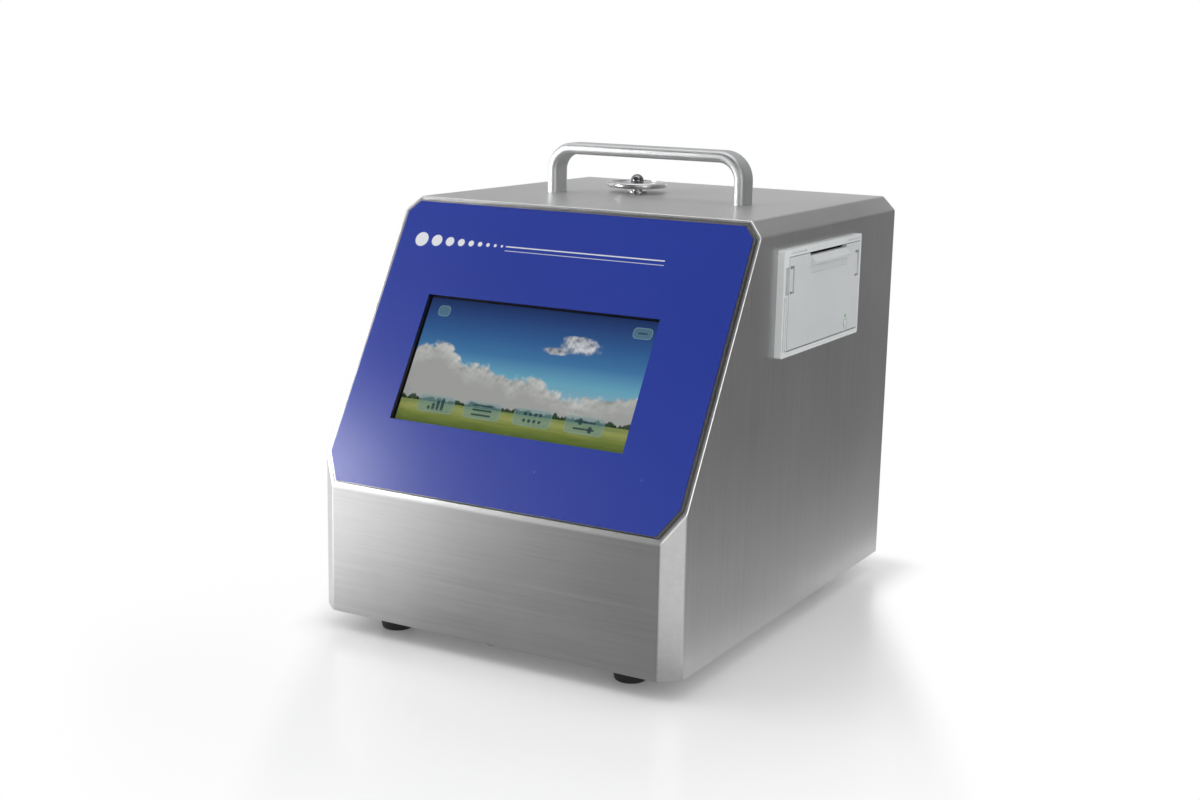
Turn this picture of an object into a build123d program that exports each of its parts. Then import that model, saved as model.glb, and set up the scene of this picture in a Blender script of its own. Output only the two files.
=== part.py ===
"""Portable airborne particle counter: a folded stainless casing with a slanted screen panel.

Casing frame, in millimetres: x = 0 is the middle of the width, y = 0 the lower front face,
z = 0 the underside of the casing. +Z is up and the front faces -Y. Every part is exported
moved by SHIFT, which puts the origin at the bottom centre of the bounding box.
"""
import os
from math import cos, hypot, pi, radians, sin

from build123d import *

# ---- casing ------------------------------------------------------------------
W = 240.0             # width
RIGHT = W / 2
D = 298.0             # depth
H = 240.0             # height of the casing without feet
FRONT_H = 77.0        # height of the upright lower front
SLOPE_RUN = 94.0      # how far the slanted panel leans back
SHEET = 1.5           # folded stainless sheet
CUT_FRONT = (11.0, 9.3)   # upright front chamfers, across x and y
CUT_TOP = (8.5, 8.5)      # long top chamfers, across x and z
BEND_R = 6.0          # rounded bend under the slanted panel
EDGE_R = 2.6          # rounding of the chamfer folds
RIM_R = 0.8           # rounding of the casing edge round the slanted panel
FLANGE = 12.0         # width of the folded inner flanges
PANEL_GAP = 0.5       # gap round the rear panel and the base plate
PANEL_T = 2.0         # rear panel and base plate

FOOT_H = 12.0
FOOT_R = 10.0
FOOT_AT = (RIGHT - 40.0, 25.0)    # distance from the middle, distance from the front and rear

# ---- slanted panel -----------------------------------------------------------
SLOPE_L = hypot(SLOPE_RUN, H - FRONT_H)
SIN = SLOPE_RUN / SLOPE_L
COS = (H - FRONT_H) / SLOPE_L
OPENING_LOW = 2.1     # lower end of the slanted opening above the bend
PLATE_GAP = 1.2       # dark joint between casing edge and panel plate
PLATE_T = 2.5
PLATE_PROUD = 1.2     # how far the plate stands out of the slope
OVERLAY_T = 0.4
OVERLAY_MARGIN = 1.4
WINDOW = (156.0, 79.3)
WINDOW_AT = (-4.5, 0.45 * SLOPE_L)  # centre across and up the slope
GLASS = (166.0, 92.0, 1.2)
MODULE = (165.0, 100.0, 6.0)
STUD_R = 1.5

# ---- handle ------------------------------------------------------------------
HANDLE_W = 139.0      # outside width
HANDLE_H = 32.0
HANDLE_T = 7.2        # bar thickness
HANDLE_DEPTH = 16.5   # bar width along y
HANDLE_Y = D - 118.5
HANDLE_R = 18.0       # outer corner radius
HANDLE_EDGE = 0.45    # rounding of the bar as a share of its thickness
HANDLE_SCREW_R = 2.5

# ---- air path ----------------------------------------------------------------
AIR = (95.0 - RIGHT, D - 86.0)  # the upright line through inlet, chamber and blower
NOZZLE_R = 4.0        # spigots of the sample tube
NOZZLE_BORE_R = 2.5
NECK_R = 3.5
NECK_H = 3.2
THREAD_R = 5.0        # threaded part through the top sheet
CAP_R = 19.4
CAP_T = 3.4
CAP_DISH = 1.2        # depth of the hollow inside the cap's rounded rim
KNOB_R = 4.3
TUBE_FIT = 0.05       # clearance of tubes on spigots
TUBE_WALL = 2.0
CHAMBER = (90.0, 60.0, 46.0)
CHAMBER_Z = 112.0
LASER_R = 8.0
BLOWER_Z = 24.0       # underside of the volute
VOLUTE_H = 30.0
SCROLL_R = 36.0       # scroll radius at its start
SCROLL_GROW = 11.0
BLOWER_WALL = 2.0
EAR_AT = SCROLL_R + 6.0   # ear circle, and the outlet wall behind the wheel's axis
IMPELLER_R = SCROLL_R - 5.0
SHAFT_R = 2.0
BLADES = 11
DUCT_R = 6.0          # exhaust spigots
FILTER_R = 21.0

# ---- printer -----------------------------------------------------------------
PR_Y = (SLOPE_RUN + 19.0, SLOPE_RUN + 136.5)     # bezel across the right side
PR_Z = (H - 79.5, H - 17.5)
PR_PROUD = 4.0
PR_RIM = 2.0              # how far the bezel covers the cut-out
PR_DEPTH = 48.0
PR_WALL = 1.8
PR_STRIP = 7.2            # ribbed strip beside the door
DOOR_T = 3.0
DOOR_GAP = 0.4
HINGE_Z = PR_Z[0] + 4.8
PIN_R = 1.2
PIN_FIT = 0.05
SLOT_Y = (PR_Y[0] + 36.5, PR_Y[1] - 25.0)   # paper slot
LATCH_Z = PR_Z[1] - 18.5
LATCH_X = RIGHT - 2.8
PLATEN_R = 4.5
PLATEN_SHAFT_R = 1.5
PLATEN_AT = (RIGHT - 5.6, PR_Z[1] - 10.9)  # x and z of the roller axis
ROLL_R = 19.0
PAPER_W = 57.0
BUTTON_AT = (PR_Y[1] - 21.5, PR_Z[0] + 8.4)
BUTTON_R = 2.2
LED_UP = 4.8

# ---- rear panel fittings -------------------------------------------------------
FAN_AT = (48.0 - RIGHT, H - 55.0)
FAN = 60.0
FAN_DEPTH = 15.0
FAN_R = 27.5
INLET_AT = (RIGHT - 38.0, 38.0)   # power inlet, x and z
SWITCH_AT = (RIGHT - 38.0, 74.0)
ROCKER_Y = -1.0           # rocker pin in front of the rear face
PORT_AT = (30.0, 112.0)   # serial port
EXHAUST_AT = (AIR[0] + SCROLL_R, 39.0)
SCREW_R = 2.0             # M4 screws
SCREW_L = 10.0
SCREW_FIT = 0.05
PAN_H = 2.4               # height of a pan head

REAR_IN = D - PANEL_T     # inner face of the rear panel
PORT_END = D + 16.0       # end of the exhaust spigot
SPIGOT_R = 5.5            # outside of the exhaust spigot
LIP_PROUD = 8.0           # tear-off lip, the part furthest to the right
SHIFT = Pos(-LIP_PROUD / 2, -PORT_END / 2, FOOT_H)
SLOPE = Plane(origin=(0, 0, FRONT_H), x_dir=(1, 0, 0), z_dir=(0, -COS, SIN))


# ---- small helpers -------------------------------------------------------------
def box(x, y, z):
    """A box given by its x, y and z ranges."""
    size = [b - a for a, b in (x, y, z)]
    middle = [(a + b) / 2 for a, b in (x, y, z)]
    return Pos(*middle) * Box(*size)


def rod(r, start, end):
    """A cylinder of radius r from start to end."""
    axis = Vector(*end) - Vector(*start)
    low = (Align.CENTER, Align.CENTER, Align.MIN)
    return Plane(origin=start, z_dir=axis) * Cylinder(r, axis.length, align=low)


def tube(r_out, r_in, start, end):
    return rod(r_out, start, end) - rod(r_in, start, end)


def prism(points, plane, amount):
    """A polygon drawn on a plane and pushed along the plane's normal."""
    return extrude(plane * Polygon(*points, align=None), amount, dir=plane.z_dir)


def group(shapes):
    """Separate solids kept together as one node."""
    return Compound([solid for shape in shapes for solid in shape.solids()])


def on_slope(x, v, n):
    """A box in slope coordinates: across, up the slope and out of it."""
    return SLOPE * box(x, v, n)


def hexagon(across, start, end):
    axis = Vector(*end) - Vector(*start)
    outline = RegularPolygon(across / 2, 6, major_radius=False)
    return extrude(Plane(origin=start, z_dir=axis) * outline, axis.length)


def pan_screw(head, tip, r=SCREW_R):
    """A pan head screw: head is the point under the head and tip its end."""
    axis = (Vector(*head) - Vector(*tip)).normalized()
    top = tuple(Vector(*head) + axis * PAN_H)
    screw = rod(r, head, tip) + rod(r * 1.9, head, top)
    seat = Plane(origin=top, z_dir=axis)
    return screw - [seat * Box(*size) for size in ((r * 2.2, r * 0.42, 1.8), (r * 0.42, r * 2.2, 1.8))]


# ---- casing --------------------------------------------------------------------
def side_profile(inset, low, rear):
    """Side outline moved inward by inset, with its own lower and rear limits."""
    at_front = FRONT_H - inset * SIN + inset * (1 - COS) * COS / SIN
    run = (H - inset - FRONT_H + inset * SIN) / COS
    at_top = inset * COS + run * SIN
    return [(inset, low), (inset, at_front), (at_top, H - inset), (rear, H - inset), (rear, low)]


def corner_wedge(p, q, far, inset, plane, amount):
    """Prism that cuts a chamfer through p and q, moved inward by inset."""
    length = hypot(q[0] - p[0], q[1] - p[1])
    d = ((q[0] - p[0]) / length, (q[1] - p[1]) / length)
    side = -1 if (far[0] - p[0]) * -d[1] + (far[1] - p[1]) * d[0] > 0 else 1
    n = (-d[1] * side * inset, d[0] * side * inset)
    a = (p[0] + n[0] - 15 * d[0], p[1] + n[1] - 15 * d[1])
    b = (q[0] + n[0] + 15 * d[0], q[1] + n[1] + 15 * d[1])
    return prism([a, b, far], plane, amount)


def casing_solid(inset, low=0.0, rear=D):
    """The casing outline as a solid, moved inward by inset."""
    profile = Polygon(*side_profile(inset, low, rear), align=None)
    corner = profile.vertices().sort_by_distance(Vector(inset, FRONT_H))[0]
    profile = fillet(corner, BEND_R - inset)
    solid = extrude(Plane.YZ * profile, RIGHT - inset, both=True)
    front = corner_wedge((RIGHT - CUT_FRONT[0], 0), (RIGHT, CUT_FRONT[1]), (RIGHT + 30, -30),
                         inset, Plane.XY.offset(-40), H + 80)
    top = corner_wedge((RIGHT - CUT_TOP[0], H), (RIGHT, H - CUT_TOP[1]), (RIGHT + 30, H + 30),
                       inset, Plane.XZ.offset(40), -(D + 80))
    for wedge in (front, top):
        solid = solid - wedge - wedge.mirror(Plane.YZ)
    return solid


def slope_outline(inset, low):
    """The slanted outline with cut corners, moved inward, its lower side at v = low."""
    up_front = CUT_FRONT[1] / SIN
    up_top = CUT_TOP[1] / COS
    drop = 8.0
    x_low = RIGHT - CUT_FRONT[0] * (1 + drop / up_front)
    half = [(x_low, -drop), (RIGHT, up_front), (RIGHT, SLOPE_L - up_top), (RIGHT - CUT_TOP[0], SLOPE_L)]
    points = half + [(-x, v) for x, v in reversed(half)]
    face = offset(Polygon(*points, align=None), -inset, kind=Kind.INTERSECTION)
    return face - Pos(0, low - 20) * Rectangle(2 * W, 40)


def slope_slab(inset, low, n0, n1):
    return extrude(SLOPE.offset(n0) * slope_outline(inset, low), n1 - n0)


def rear_screw_points():
    xs, zs = RIGHT - SHEET - FLANGE / 2 - 1, (FLANGE / 2 + 4, H - FLANGE / 2 - 5)
    points = [(s * x, z) for s in (-1, 1) for x in (xs - 8, ) for z in zs]
    return points + [(s * xs, z) for s in (-1, 1) for z in (95.0, 150.0)]


def base_screw_points():
    xs = RIGHT - SHEET - FLANGE / 2 - 1
    middle = [(0.0, SHEET + FLANGE / 2), (0.0, D - 13)]
    return middle + [(s * xs, y) for s in (-1, 1) for y in (60.0, D - 148, D - 58)]


def panel_studs():
    """Where the studs of the slanted plate sit, across and up the slope."""
    return [(s * (RIGHT - 9.5), v) for s in (-1, 1) for v in (32.0, SLOPE_L / 2, SLOPE_L - 32)]


def printer_cutout(grow):
    """The printer cut-out in y and z, made larger by grow."""
    return ((PR_Y[0] + PR_RIM - grow, PR_Y[1] - PR_RIM + grow),
            (PR_Z[0] + PR_RIM - grow, PR_Z[1] - PR_RIM + grow))


def rim_edges(shell):
    """The two long outer edges of the slanted opening; the rounding runs on round its corners."""
    local = [(edge, SLOPE.to_local_coords(edge.center())) for edge in shell.edges() if edge.length > SLOPE_L / 2]
    return [edge for edge, at in local if abs(at.Z) < 0.01 and abs(at.X) > RIGHT - SHEET / 2]


def casing_shell():
    """Folded and welded sheet: front, sides and top, with inner flanges on three openings."""
    outer = casing_solid(0)
    folds = [e for e in outer.edges().filter_by(Axis.Z) if e.center().Y < 20]
    folds += [e for e in outer.edges().filter_by(Axis.Y) if e.center().Z > H - 20]
    outer = fillet(folds, EDGE_R)
    shell = outer - casing_solid(SHEET, low=-20, rear=D + 20)
    shell -= slope_slab(SHEET, OPENING_LOW, -SHEET - 0.4, 30)
    shell = fillet(rim_edges(shell), RIM_R)
    seat = PLATE_PROUD - PLATE_T
    ring = slope_slab(SHEET / 2, OPENING_LOW - 1.0, seat - SHEET, seat)
    ring -= slope_slab(SHEET + FLANGE + 2, FLANGE, seat - 10, seat + 10)
    inner = casing_solid(SHEET)
    rear = inner & box((-W, W), (REAR_IN - SHEET, REAR_IN), (PANEL_T, H))
    rear -= box((FLANGE + SHEET - RIGHT, RIGHT - FLANGE - SHEET), (D - 20, D + 5), (PANEL_T + FLANGE, H - FLANGE - SHEET))
    low = inner & box((-W, W), (-5, REAR_IN), (PANEL_T, PANEL_T + SHEET))
    low -= box((FLANGE + SHEET - RIGHT, RIGHT - FLANGE - SHEET), (SHEET + FLANGE, REAR_IN - FLANGE), (0, 10))
    shell = shell.fuse(ring, rear, low)
    y, z = printer_cutout(0.3)
    cuts = [box((RIGHT - 5, RIGHT + 5), y, z)]
    cuts.append(rod(THREAD_R + 0.3, (*AIR, H - 10), (*AIR, H + 10)))
    for s in (-1, 1):
        x = s * (HANDLE_W - HANDLE_T) / 2
        cuts.append(rod(HANDLE_SCREW_R + 0.3, (x, HANDLE_Y, H - 10), (x, HANDLE_Y, H + 10)))
    cuts += [rod(SCREW_R + SCREW_FIT, (x, D - 10, zz), (x, D, zz)) for x, zz in rear_screw_points()]
    cuts += [rod(SCREW_R + SCREW_FIT, (x, yy, -5), (x, yy, 10)) for x, yy in base_screw_points()]
    cuts += [SLOPE * rod(STUD_R + 0.3, (x, v, -8), (x, v, 0)) for x, v in panel_studs()]
    return shell - cuts


def base_plate():
    """Bottom tray with air slots; feet, blower and boards stand on it."""
    plate = casing_solid(SHEET + PANEL_GAP) & box((-W, W), (-5, REAR_IN - PANEL_GAP), (0, PANEL_T))
    cuts = [rod(SCREW_R + 0.3, (x, y, -5), (x, y, 10)) for x, y in base_screw_points()]
    cuts += [rod(SCREW_R + SCREW_FIT, (x, y, -5), (x, y, 10)) for x, y in foot_points().values()]
    for i in range(8):
        y = D - 162 + 5 * i
        cuts.append(box((-60, -20), (y, y + 2.4), (-5, 5)))
    return plate - cuts


def rear_panel():
    """Rear plate with the openings for fan, ports, power inlet, switch and exhaust."""
    y = (REAR_IN, D)
    plate = casing_solid(SHEET + PANEL_GAP, rear=D) & box((-W, W), y, (PANEL_GAP, H))
    cuts = [rod(SCREW_R + 0.3, (x, D - 10, z), (x, D + 5, z)) for x, z in rear_screw_points()]
    fx, fz = FAN_AT
    cuts.append(rod(FAN_R, (fx, D - 10, fz), (fx, D + 5, fz)))
    cuts += [rod(SCREW_R + 0.3, (x, D - 10, z), (x, D + 5, z)) for x, z in fan_screw_points()]
    cuts.append(box((INLET_AT[0] - 14.3, INLET_AT[0] + 14.3), (D - 10, D + 5), (INLET_AT[1] - 11.3, INLET_AT[1] + 11.3)))
    cuts.append(box((SWITCH_AT[0] - 9.8, SWITCH_AT[0] + 9.8), (D - 10, D + 5), (SWITCH_AT[1] - 6.3, SWITCH_AT[1] + 6.3)))
    cuts.append(box((PORT_AT[0] - 10, PORT_AT[0] + 10), (D - 10, D + 5), (PORT_AT[1] - 5.5, PORT_AT[1] + 5.5)))
    cuts.append(rod(DUCT_R + 1.3, (EXHAUST_AT[0], D - 10, EXHAUST_AT[1]), (EXHAUST_AT[0], D + 5, EXHAUST_AT[1])))
    return plate - cuts


def foot_points():
    x, y = FOOT_AT
    return {"foot_front_left": (-x, y), "foot_front_right": (x, y),
            "foot_rear_left": (-x, D - y), "foot_rear_right": (x, D - y)}


def foot(x, y):
    """Moulded rubber foot with a counterbore for its screw."""
    low = (Align.CENTER, Align.CENTER, Align.MAX)
    body = Pos(x, y, 0) * Cone(FOOT_R - 1, FOOT_R + 1.5, FOOT_H, align=low)
    body = fillet(body.edges().sort_by(Axis.Z)[0], 1.5)
    return body - rod(5, (x, y, -FOOT_H), (x, y, -5)) - rod(SCREW_R + 0.1, (x, y, -FOOT_H), (x, y, 0))


def case_screws():
    """Identical screws of the rear panel, the base plate and the feet."""
    rear = [pan_screw((x, D, z), (x, D - SCREW_L, z)) for x, z in rear_screw_points()]
    low = [pan_screw((x, y, 0), (x, y, SCREW_L)) for x, y in base_screw_points()]
    feet = [pan_screw((x, y, -5), (x, y, SCREW_L - 5)) for x, y in foot_points().values()]
    return group(rear + low + feet)


# ---- slanted panel ---------------------------------------------------------------
def window_cut(grow=0.0):
    x, v = WINDOW_AT
    return on_slope((x - WINDOW[0] / 2 - grow, x + WINDOW[0] / 2 + grow),
                    (v - WINDOW[1] / 2 - grow, v + WINDOW[1] / 2 + grow), (-20, 20))


def display_posts():
    x, v = WINDOW_AT
    return [(x + sx * 88.0, v + sv * 54.5) for sx in (-1, 1) for sv in (-1, 1)]


PLATE_BACK = PLATE_PROUD - PLATE_T
GLASS_BACK = PLATE_BACK - GLASS[2]
MODULE_BACK = GLASS_BACK - MODULE[2]


def front_panel_plate():
    """Plate that stands proud of the casing, with welded studs behind it."""
    plate = slope_slab(SHEET + PLATE_GAP, OPENING_LOW + 0.5, PLATE_BACK, PLATE_PROUD)
    plate -= window_cut()
    studs = [SLOPE * rod(STUD_R, (x, v, PLATE_BACK + 0.5), (x, v, PLATE_BACK - 6)) for x, v in panel_studs()]
    posts = [SLOPE * (rod(3, (x, v, PLATE_BACK + 0.5), (x, v, MODULE_BACK)) -
                      rod(STUD_R + SCREW_FIT, (x, v, PLATE_BACK - 1), (x, v, MODULE_BACK - 1)))
             for x, v in display_posts()]
    return plate.fuse(*studs, *posts)


def panel_overlay():
    """Thin printed film glued on the plate."""
    film = slope_slab(SHEET + PLATE_GAP + OVERLAY_MARGIN, OPENING_LOW + 0.9, PLATE_PROUD, PLATE_PROUD + OVERLAY_T)
    return film - window_cut()


def panel_nuts():
    seat = PLATE_BACK - SHEET
    nuts = [SLOPE * (hexagon(5.5, (x, v, seat - 2.4), (x, v, seat)) -
                     rod(STUD_R + SCREW_FIT, (x, v, seat - 5), (x, v, seat + 1)))
            for x, v in panel_studs()]
    return group(nuts)


def panel_slab(size, n0, n1):
    x, v = WINDOW_AT
    return on_slope((x - size[0] / 2, x + size[0] / 2), (v - size[1] / 2, v + size[1] / 2), (n0, n1))


def touch_glass():
    return panel_slab(GLASS, GLASS_BACK, PLATE_BACK)


def display_module():
    """Liquid crystal module: metal can with a thinner raised back part."""
    return panel_slab(MODULE, MODULE_BACK, GLASS_BACK)


def display_bracket():
    """Frame of bent sheet that clamps the module to the plate posts."""
    frame = panel_slab((186, 118), MODULE_BACK - 1.5, MODULE_BACK)
    frame -= panel_slab((120, 62), MODULE_BACK - 5, MODULE_BACK + 5)
    x, v = WINDOW_AT
    posts = [SLOPE * rod(3, (x + a, v + b, MODULE_BACK - 1.2), (x + a, v + b, MODULE_BACK - 7))
             for a in (-68, 68) for b in (-40, 40)]
    frame = frame.fuse(*posts)
    return frame - [SLOPE * rod(STUD_R + 0.3, (a, b, MODULE_BACK - 9), (a, b, MODULE_BACK + 2)) for a, b in display_posts()]


def display_screws():
    seat = MODULE_BACK - 1.5
    return group(SLOPE * pan_screw((x, v, seat), (x, v, seat + 7), STUD_R) for x, v in display_posts())


def display_board():
    """Driver board behind the bracket with its connectors."""
    back = MODULE_BACK - 7
    board = panel_slab((150, 94), back - 1.6, back)
    x, v = WINDOW_AT
    chips = [(-40, 10, 16, 16, 2), (5, 15, 22, 10, 2), (45, -20, 10, 24, 7), (-55, -30, 20, 8, 7), (10, -25, 12, 12, 1.5)]
    for cx, cv, sx, sv, h in chips:
        board += on_slope((x + cx - sx / 2, x + cx + sx / 2), (v + cv - sv / 2, v + cv + sv / 2), (back - 1.6 - h, back - 1))
    return board


# ---- handle ------------------------------------------------------------------------
def carry_handle():
    """Bent flat bar with rounded long edges, tapped from below."""
    half = HANDLE_W / 2
    outer = Pos(0, H + HANDLE_H / 2 - 20) * RectangleRounded(HANDLE_W, HANDLE_H + 40, HANDLE_R)
    inner = Pos(0, H + HANDLE_H / 2 - 20 - HANDLE_T / 2) * RectangleRounded(
        HANDLE_W - 2 * HANDLE_T, HANDLE_H + 40 - HANDLE_T, HANDLE_R - HANDLE_T)
    bar = outer - inner
    bar -= Pos(0, H - 40) * Rectangle(2 * HANDLE_W, 80)
    solid = extrude(Plane.XZ.offset(-HANDLE_Y) * bar, HANDLE_DEPTH / 2, both=True)
    long_edges = [e for e in solid.edges() if e.bounding_box().size.Y < 0.01 and e.center().Z > H + 0.01]
    solid = fillet(long_edges, HANDLE_T * HANDLE_EDGE)
    for s in (-1, 1):
        x = s * (half - HANDLE_T / 2)
        solid -= rod(HANDLE_SCREW_R + SCREW_FIT, (x, HANDLE_Y, H - 1), (x, HANDLE_Y, H + 14))
    return solid


def handle_screws():
    """Cap screws with wide washers under the top sheet."""
    shapes = []
    for s in (-1, 1):
        x = s * (HANDLE_W - HANDLE_T) / 2
        under = H - SHEET
        screw = rod(HANDLE_SCREW_R, (x, HANDLE_Y, H + 12), (x, HANDLE_Y, under - 2)) + \
            rod(4.2, (x, HANDLE_Y, under - 6.5), (x, HANDLE_Y, under - 1.2))
        washer = rod(7.5, (x, HANDLE_Y, under - 1.2), (x, HANDLE_Y, under))
        shapes.append(screw + washer)
    return group(shapes)


# ---- air path -----------------------------------------------------------------------
def up(z):
    return (*AIR, z)


def inlet_nozzle():
    """Turned inlet: neck over the top sheet, flange under it and a spigot for the tube."""
    under = H - SHEET - 1.0
    body = rod(NECK_R, up(H), up(H + NECK_H))
    body += rod(THREAD_R + 1.6, up(H), up(H + 0.9))
    body += rod(THREAD_R, up(under - 9), up(H + 0.5))
    body += rod(NOZZLE_R, up(under - 24), up(under - 8))
    return body - rod(NOZZLE_BORE_R, up(under - 30), up(H + 30))


def inlet_seal():
    """Flat sealing ring between top sheet and nut."""
    return tube(THREAD_R + 3.5, THREAD_R + 0.1, up(H - SHEET - 1.0), up(H - SHEET))


def inlet_nut():
    top = H - SHEET - 1.0
    return hexagon(16, up(top - 5), up(top)) - rod(THREAD_R + SCREW_FIT, up(top - 9), up(top + 1))


def inlet_cap():
    """Dished polished disc with a low domed knob; its stem closes the nozzle bore."""
    low = H + NECK_H
    top = low + CAP_T
    disc = rod(CAP_R, up(low), up(top))
    disc = fillet(disc.edges(), CAP_T * 0.48)
    dish = rod(CAP_R - 3.2, up(top - CAP_DISH), up(top + 1))
    disc -= fillet(dish.edges().sort_by(Axis.Z)[0], CAP_DISH * 0.6)
    knob = Pos(*up(top - CAP_DISH + 1.8)) * Sphere(KNOB_R)
    knob = knob & box((-W, W), (0, D), (top - CAP_DISH - 0.5, H + 40))
    stem = rod(NOZZLE_BORE_R - 0.05, up(low - 8), up(low + 1))
    return disc.fuse(knob, stem)


def sample_tube():
    top, low = H - SHEET - 12, CHAMBER_Z + CHAMBER[2] + 2
    return tube(NOZZLE_R + TUBE_FIT + TUBE_WALL, NOZZLE_R + TUBE_FIT, up(low), up(top))


def optical_chamber():
    """Anodised sensing block with bores for laser, air and detector."""
    x, y = AIR
    z0, z1 = CHAMBER_Z, CHAMBER_Z + CHAMBER[2]
    mid = (z0 + z1) / 2
    body = box((x - CHAMBER[0] / 2, x + CHAMBER[0] / 2), (y - CHAMBER[1] / 2, y + CHAMBER[1] / 2), (z0, z1))
    body = chamfer(body.edges().filter_by(Axis.Z), 3)
    body += rod(NOZZLE_R, up(z1 - 1), up(z1 + 14))
    body += rod(DUCT_R, up(z0 - 12), up(z0 + 1))
    body -= rod(NOZZLE_BORE_R, up(mid), up(z1 + 20))
    body -= rod(DUCT_R - 2, up(z0 - 20), up(mid))
    body -= Pos(*up(mid)) * Sphere(17)
    body -= rod(LASER_R + 0.05, (x - 60, y, mid), (x - 22, y, mid))
    body -= rod(3, (x - 30, y, mid), (x + 34, y, mid))
    body -= rod(9, (x, y + 10, mid), (x, y + 24, mid))
    return body - rod(12.2, (x, y + 23, mid), (x, y + 40, mid))


def laser_module():
    """Laser barrel with a collar that seats on the chamber."""
    x, y = AIR
    mid = CHAMBER_Z + CHAMBER[2] / 2
    side = x - CHAMBER[0] / 2
    body = rod(LASER_R, (side - 28, y, mid), (side + 18, y, mid))
    body += rod(LASER_R + 3, (side - 6, y, mid), (side, y, mid))
    return body - rod(4, (side + 6, y, mid), (side + 20, y, mid))


def detector_unit():
    """Lens barrel and screened detector box on the rear of the chamber."""
    x, y = AIR
    mid = CHAMBER_Z + CHAMBER[2] / 2
    face = y + CHAMBER[1] / 2
    body = box((x - 20, x + 20), (face, face + 16), (mid - 18, mid + 18))
    body = chamfer(body.edges().filter_by(Axis.Y), 2)
    return body + rod(12, (x, face - 6.5, mid), (x, face + 1, mid))


def sensor_bracket():
    """Bridge of bent sheet that carries the chamber over the blower."""
    x, y = AIR
    z1 = CHAMBER_Z
    bridge = box((x - 53, x + 53), (y - 26, y + 26), (z1 - 1.5, z1))
    legs = [box((x + a, x + a + 1.5), (y - 26, y + 26), (PANEL_T, z1)) for a in (-53, 51.5)]
    feet = [box((x + a, x + a + 9), (y - 26, y + 26), (PANEL_T, PANEL_T + 1.5)) for a in (-53, 44)]
    body = bridge.fuse(*legs, *feet)
    window = [box((x - 60, x + 60), (y - 16, y + 16), (PANEL_T + 14, z1 - 14))]
    return body - window - rod(DUCT_R + 1.5, up(z1 - 5), up(z1 + 5))


def outlet_tube():
    low, top = BLOWER_Z + VOLUTE_H + BLOWER_WALL + 2, CHAMBER_Z - 2.5
    return tube(DUCT_R + TUBE_FIT + TUBE_WALL, DUCT_R + TUBE_FIT, up(low), up(top))


def scroll_face(grow):
    """Spiral outline of the blower with its straight outlet, made larger by grow."""
    x, y = AIR
    steps = 24
    points = []
    for i in range(steps + 1):
        turn = i / steps
        angle = radians(0 - 360 * turn * 0.86)
        r = SCROLL_R + grow + SCROLL_GROW * (1 - turn)
        points.append((x + r * cos(angle), y + r * sin(angle)))
    curve = Spline(*points)
    start, end = points[0], points[-1]
    out_y = y + EAR_AT
    return make_face([curve, Line(end, (end[0], out_y)), Line((end[0], out_y), (start[0], out_y)),
                      Line((start[0], out_y), start)])


def blower_volute():
    """Moulded scroll housing, open at the top, with motor seat and exhaust spigot."""
    z0, z1 = BLOWER_Z, BLOWER_Z + VOLUTE_H
    body = extrude(Plane.XY.offset(z0) * scroll_face(BLOWER_WALL), VOLUTE_H)
    wall_y = AIR[1] + EAR_AT
    body += box((AIR[0] + 20, AIR[0] + SCROLL_R + SCROLL_GROW + BLOWER_WALL), (wall_y - 1, wall_y + 2), (z0, z1))
    body -= extrude(Plane.XY.offset(z0 + BLOWER_WALL) * scroll_face(0), VOLUTE_H)
    ex, ez = EXHAUST_AT
    body += rod(DUCT_R, (ex, wall_y + 1, ez), (ex, wall_y + 11, ez))
    body -= rod(DUCT_R - 2, (ex, wall_y - 3, ez), (ex, wall_y + 20, ez))
    ears = [rod(7, (*p, z0), (*p, z0 + 4)) for p in blower_ear_points()]
    body = body.fuse(*ears)
    body -= extrude(Plane.XY.offset(z0 + BLOWER_WALL) * scroll_face(0), VOLUTE_H)
    body -= [rod(SCREW_R + 0.1, (*p, z0 - 2), (*p, z0 + 6)) for p in blower_ear_points()]
    return body - rod(SHAFT_R + 1, up(z0 - 5), up(z0 + 5))


def blower_ear_points():
    x, y = AIR
    return [(x + EAR_AT * cos(radians(a)), y + EAR_AT * sin(radians(a))) for a in (150, 235, 315)]


def blower_cover():
    """Lid of the blower with the intake spigot."""
    z = BLOWER_Z + VOLUTE_H
    lid = extrude(Plane.XY.offset(z) * scroll_face(BLOWER_WALL), BLOWER_WALL)
    lid += rod(DUCT_R, up(z + 1), up(z + 16))
    return lid - rod(DUCT_R - 2, up(z - 1), up(z + 20))


def blower_impeller():
    """Closed-back wheel with backward-leaning blades on the motor shaft."""
    z = BLOWER_Z + BLOWER_WALL + 1.5
    wheel = rod(IMPELLER_R, up(z), up(z + 1.6)) + rod(7, up(z), up(z + 12))
    low = (Align.MIN, Align.CENTER, Align.MIN)
    for i in range(BLADES):
        blade = Pos(*up(z + 1)) * Rot(0, 0, 360 * i / BLADES) * Pos(13, 0, 0) * Rot(0, 0, -32) * \
            Box(20, 1.2, VOLUTE_H - BLOWER_WALL - 6, align=low)
        wheel += blade
    rim = tube(IMPELLER_R, IMPELLER_R - 2, up(z + VOLUTE_H - BLOWER_WALL - 6), up(z + VOLUTE_H - BLOWER_WALL - 4.6))
    wheel = wheel + rim
    shaft = rod(SHAFT_R, up(BLOWER_Z - 16), up(z + 1))
    return wheel + shaft


def blower_motor():
    """Brushless motor can under the volute, bored for the wheel's shaft."""
    can = rod(19, up(BLOWER_Z - 18), up(BLOWER_Z))
    can = fillet(can.edges().sort_by(Axis.Z)[0], 2)
    return can - rod(SHAFT_R + SCREW_FIT, up(BLOWER_Z - 16.5), up(BLOWER_Z + 1))


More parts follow.
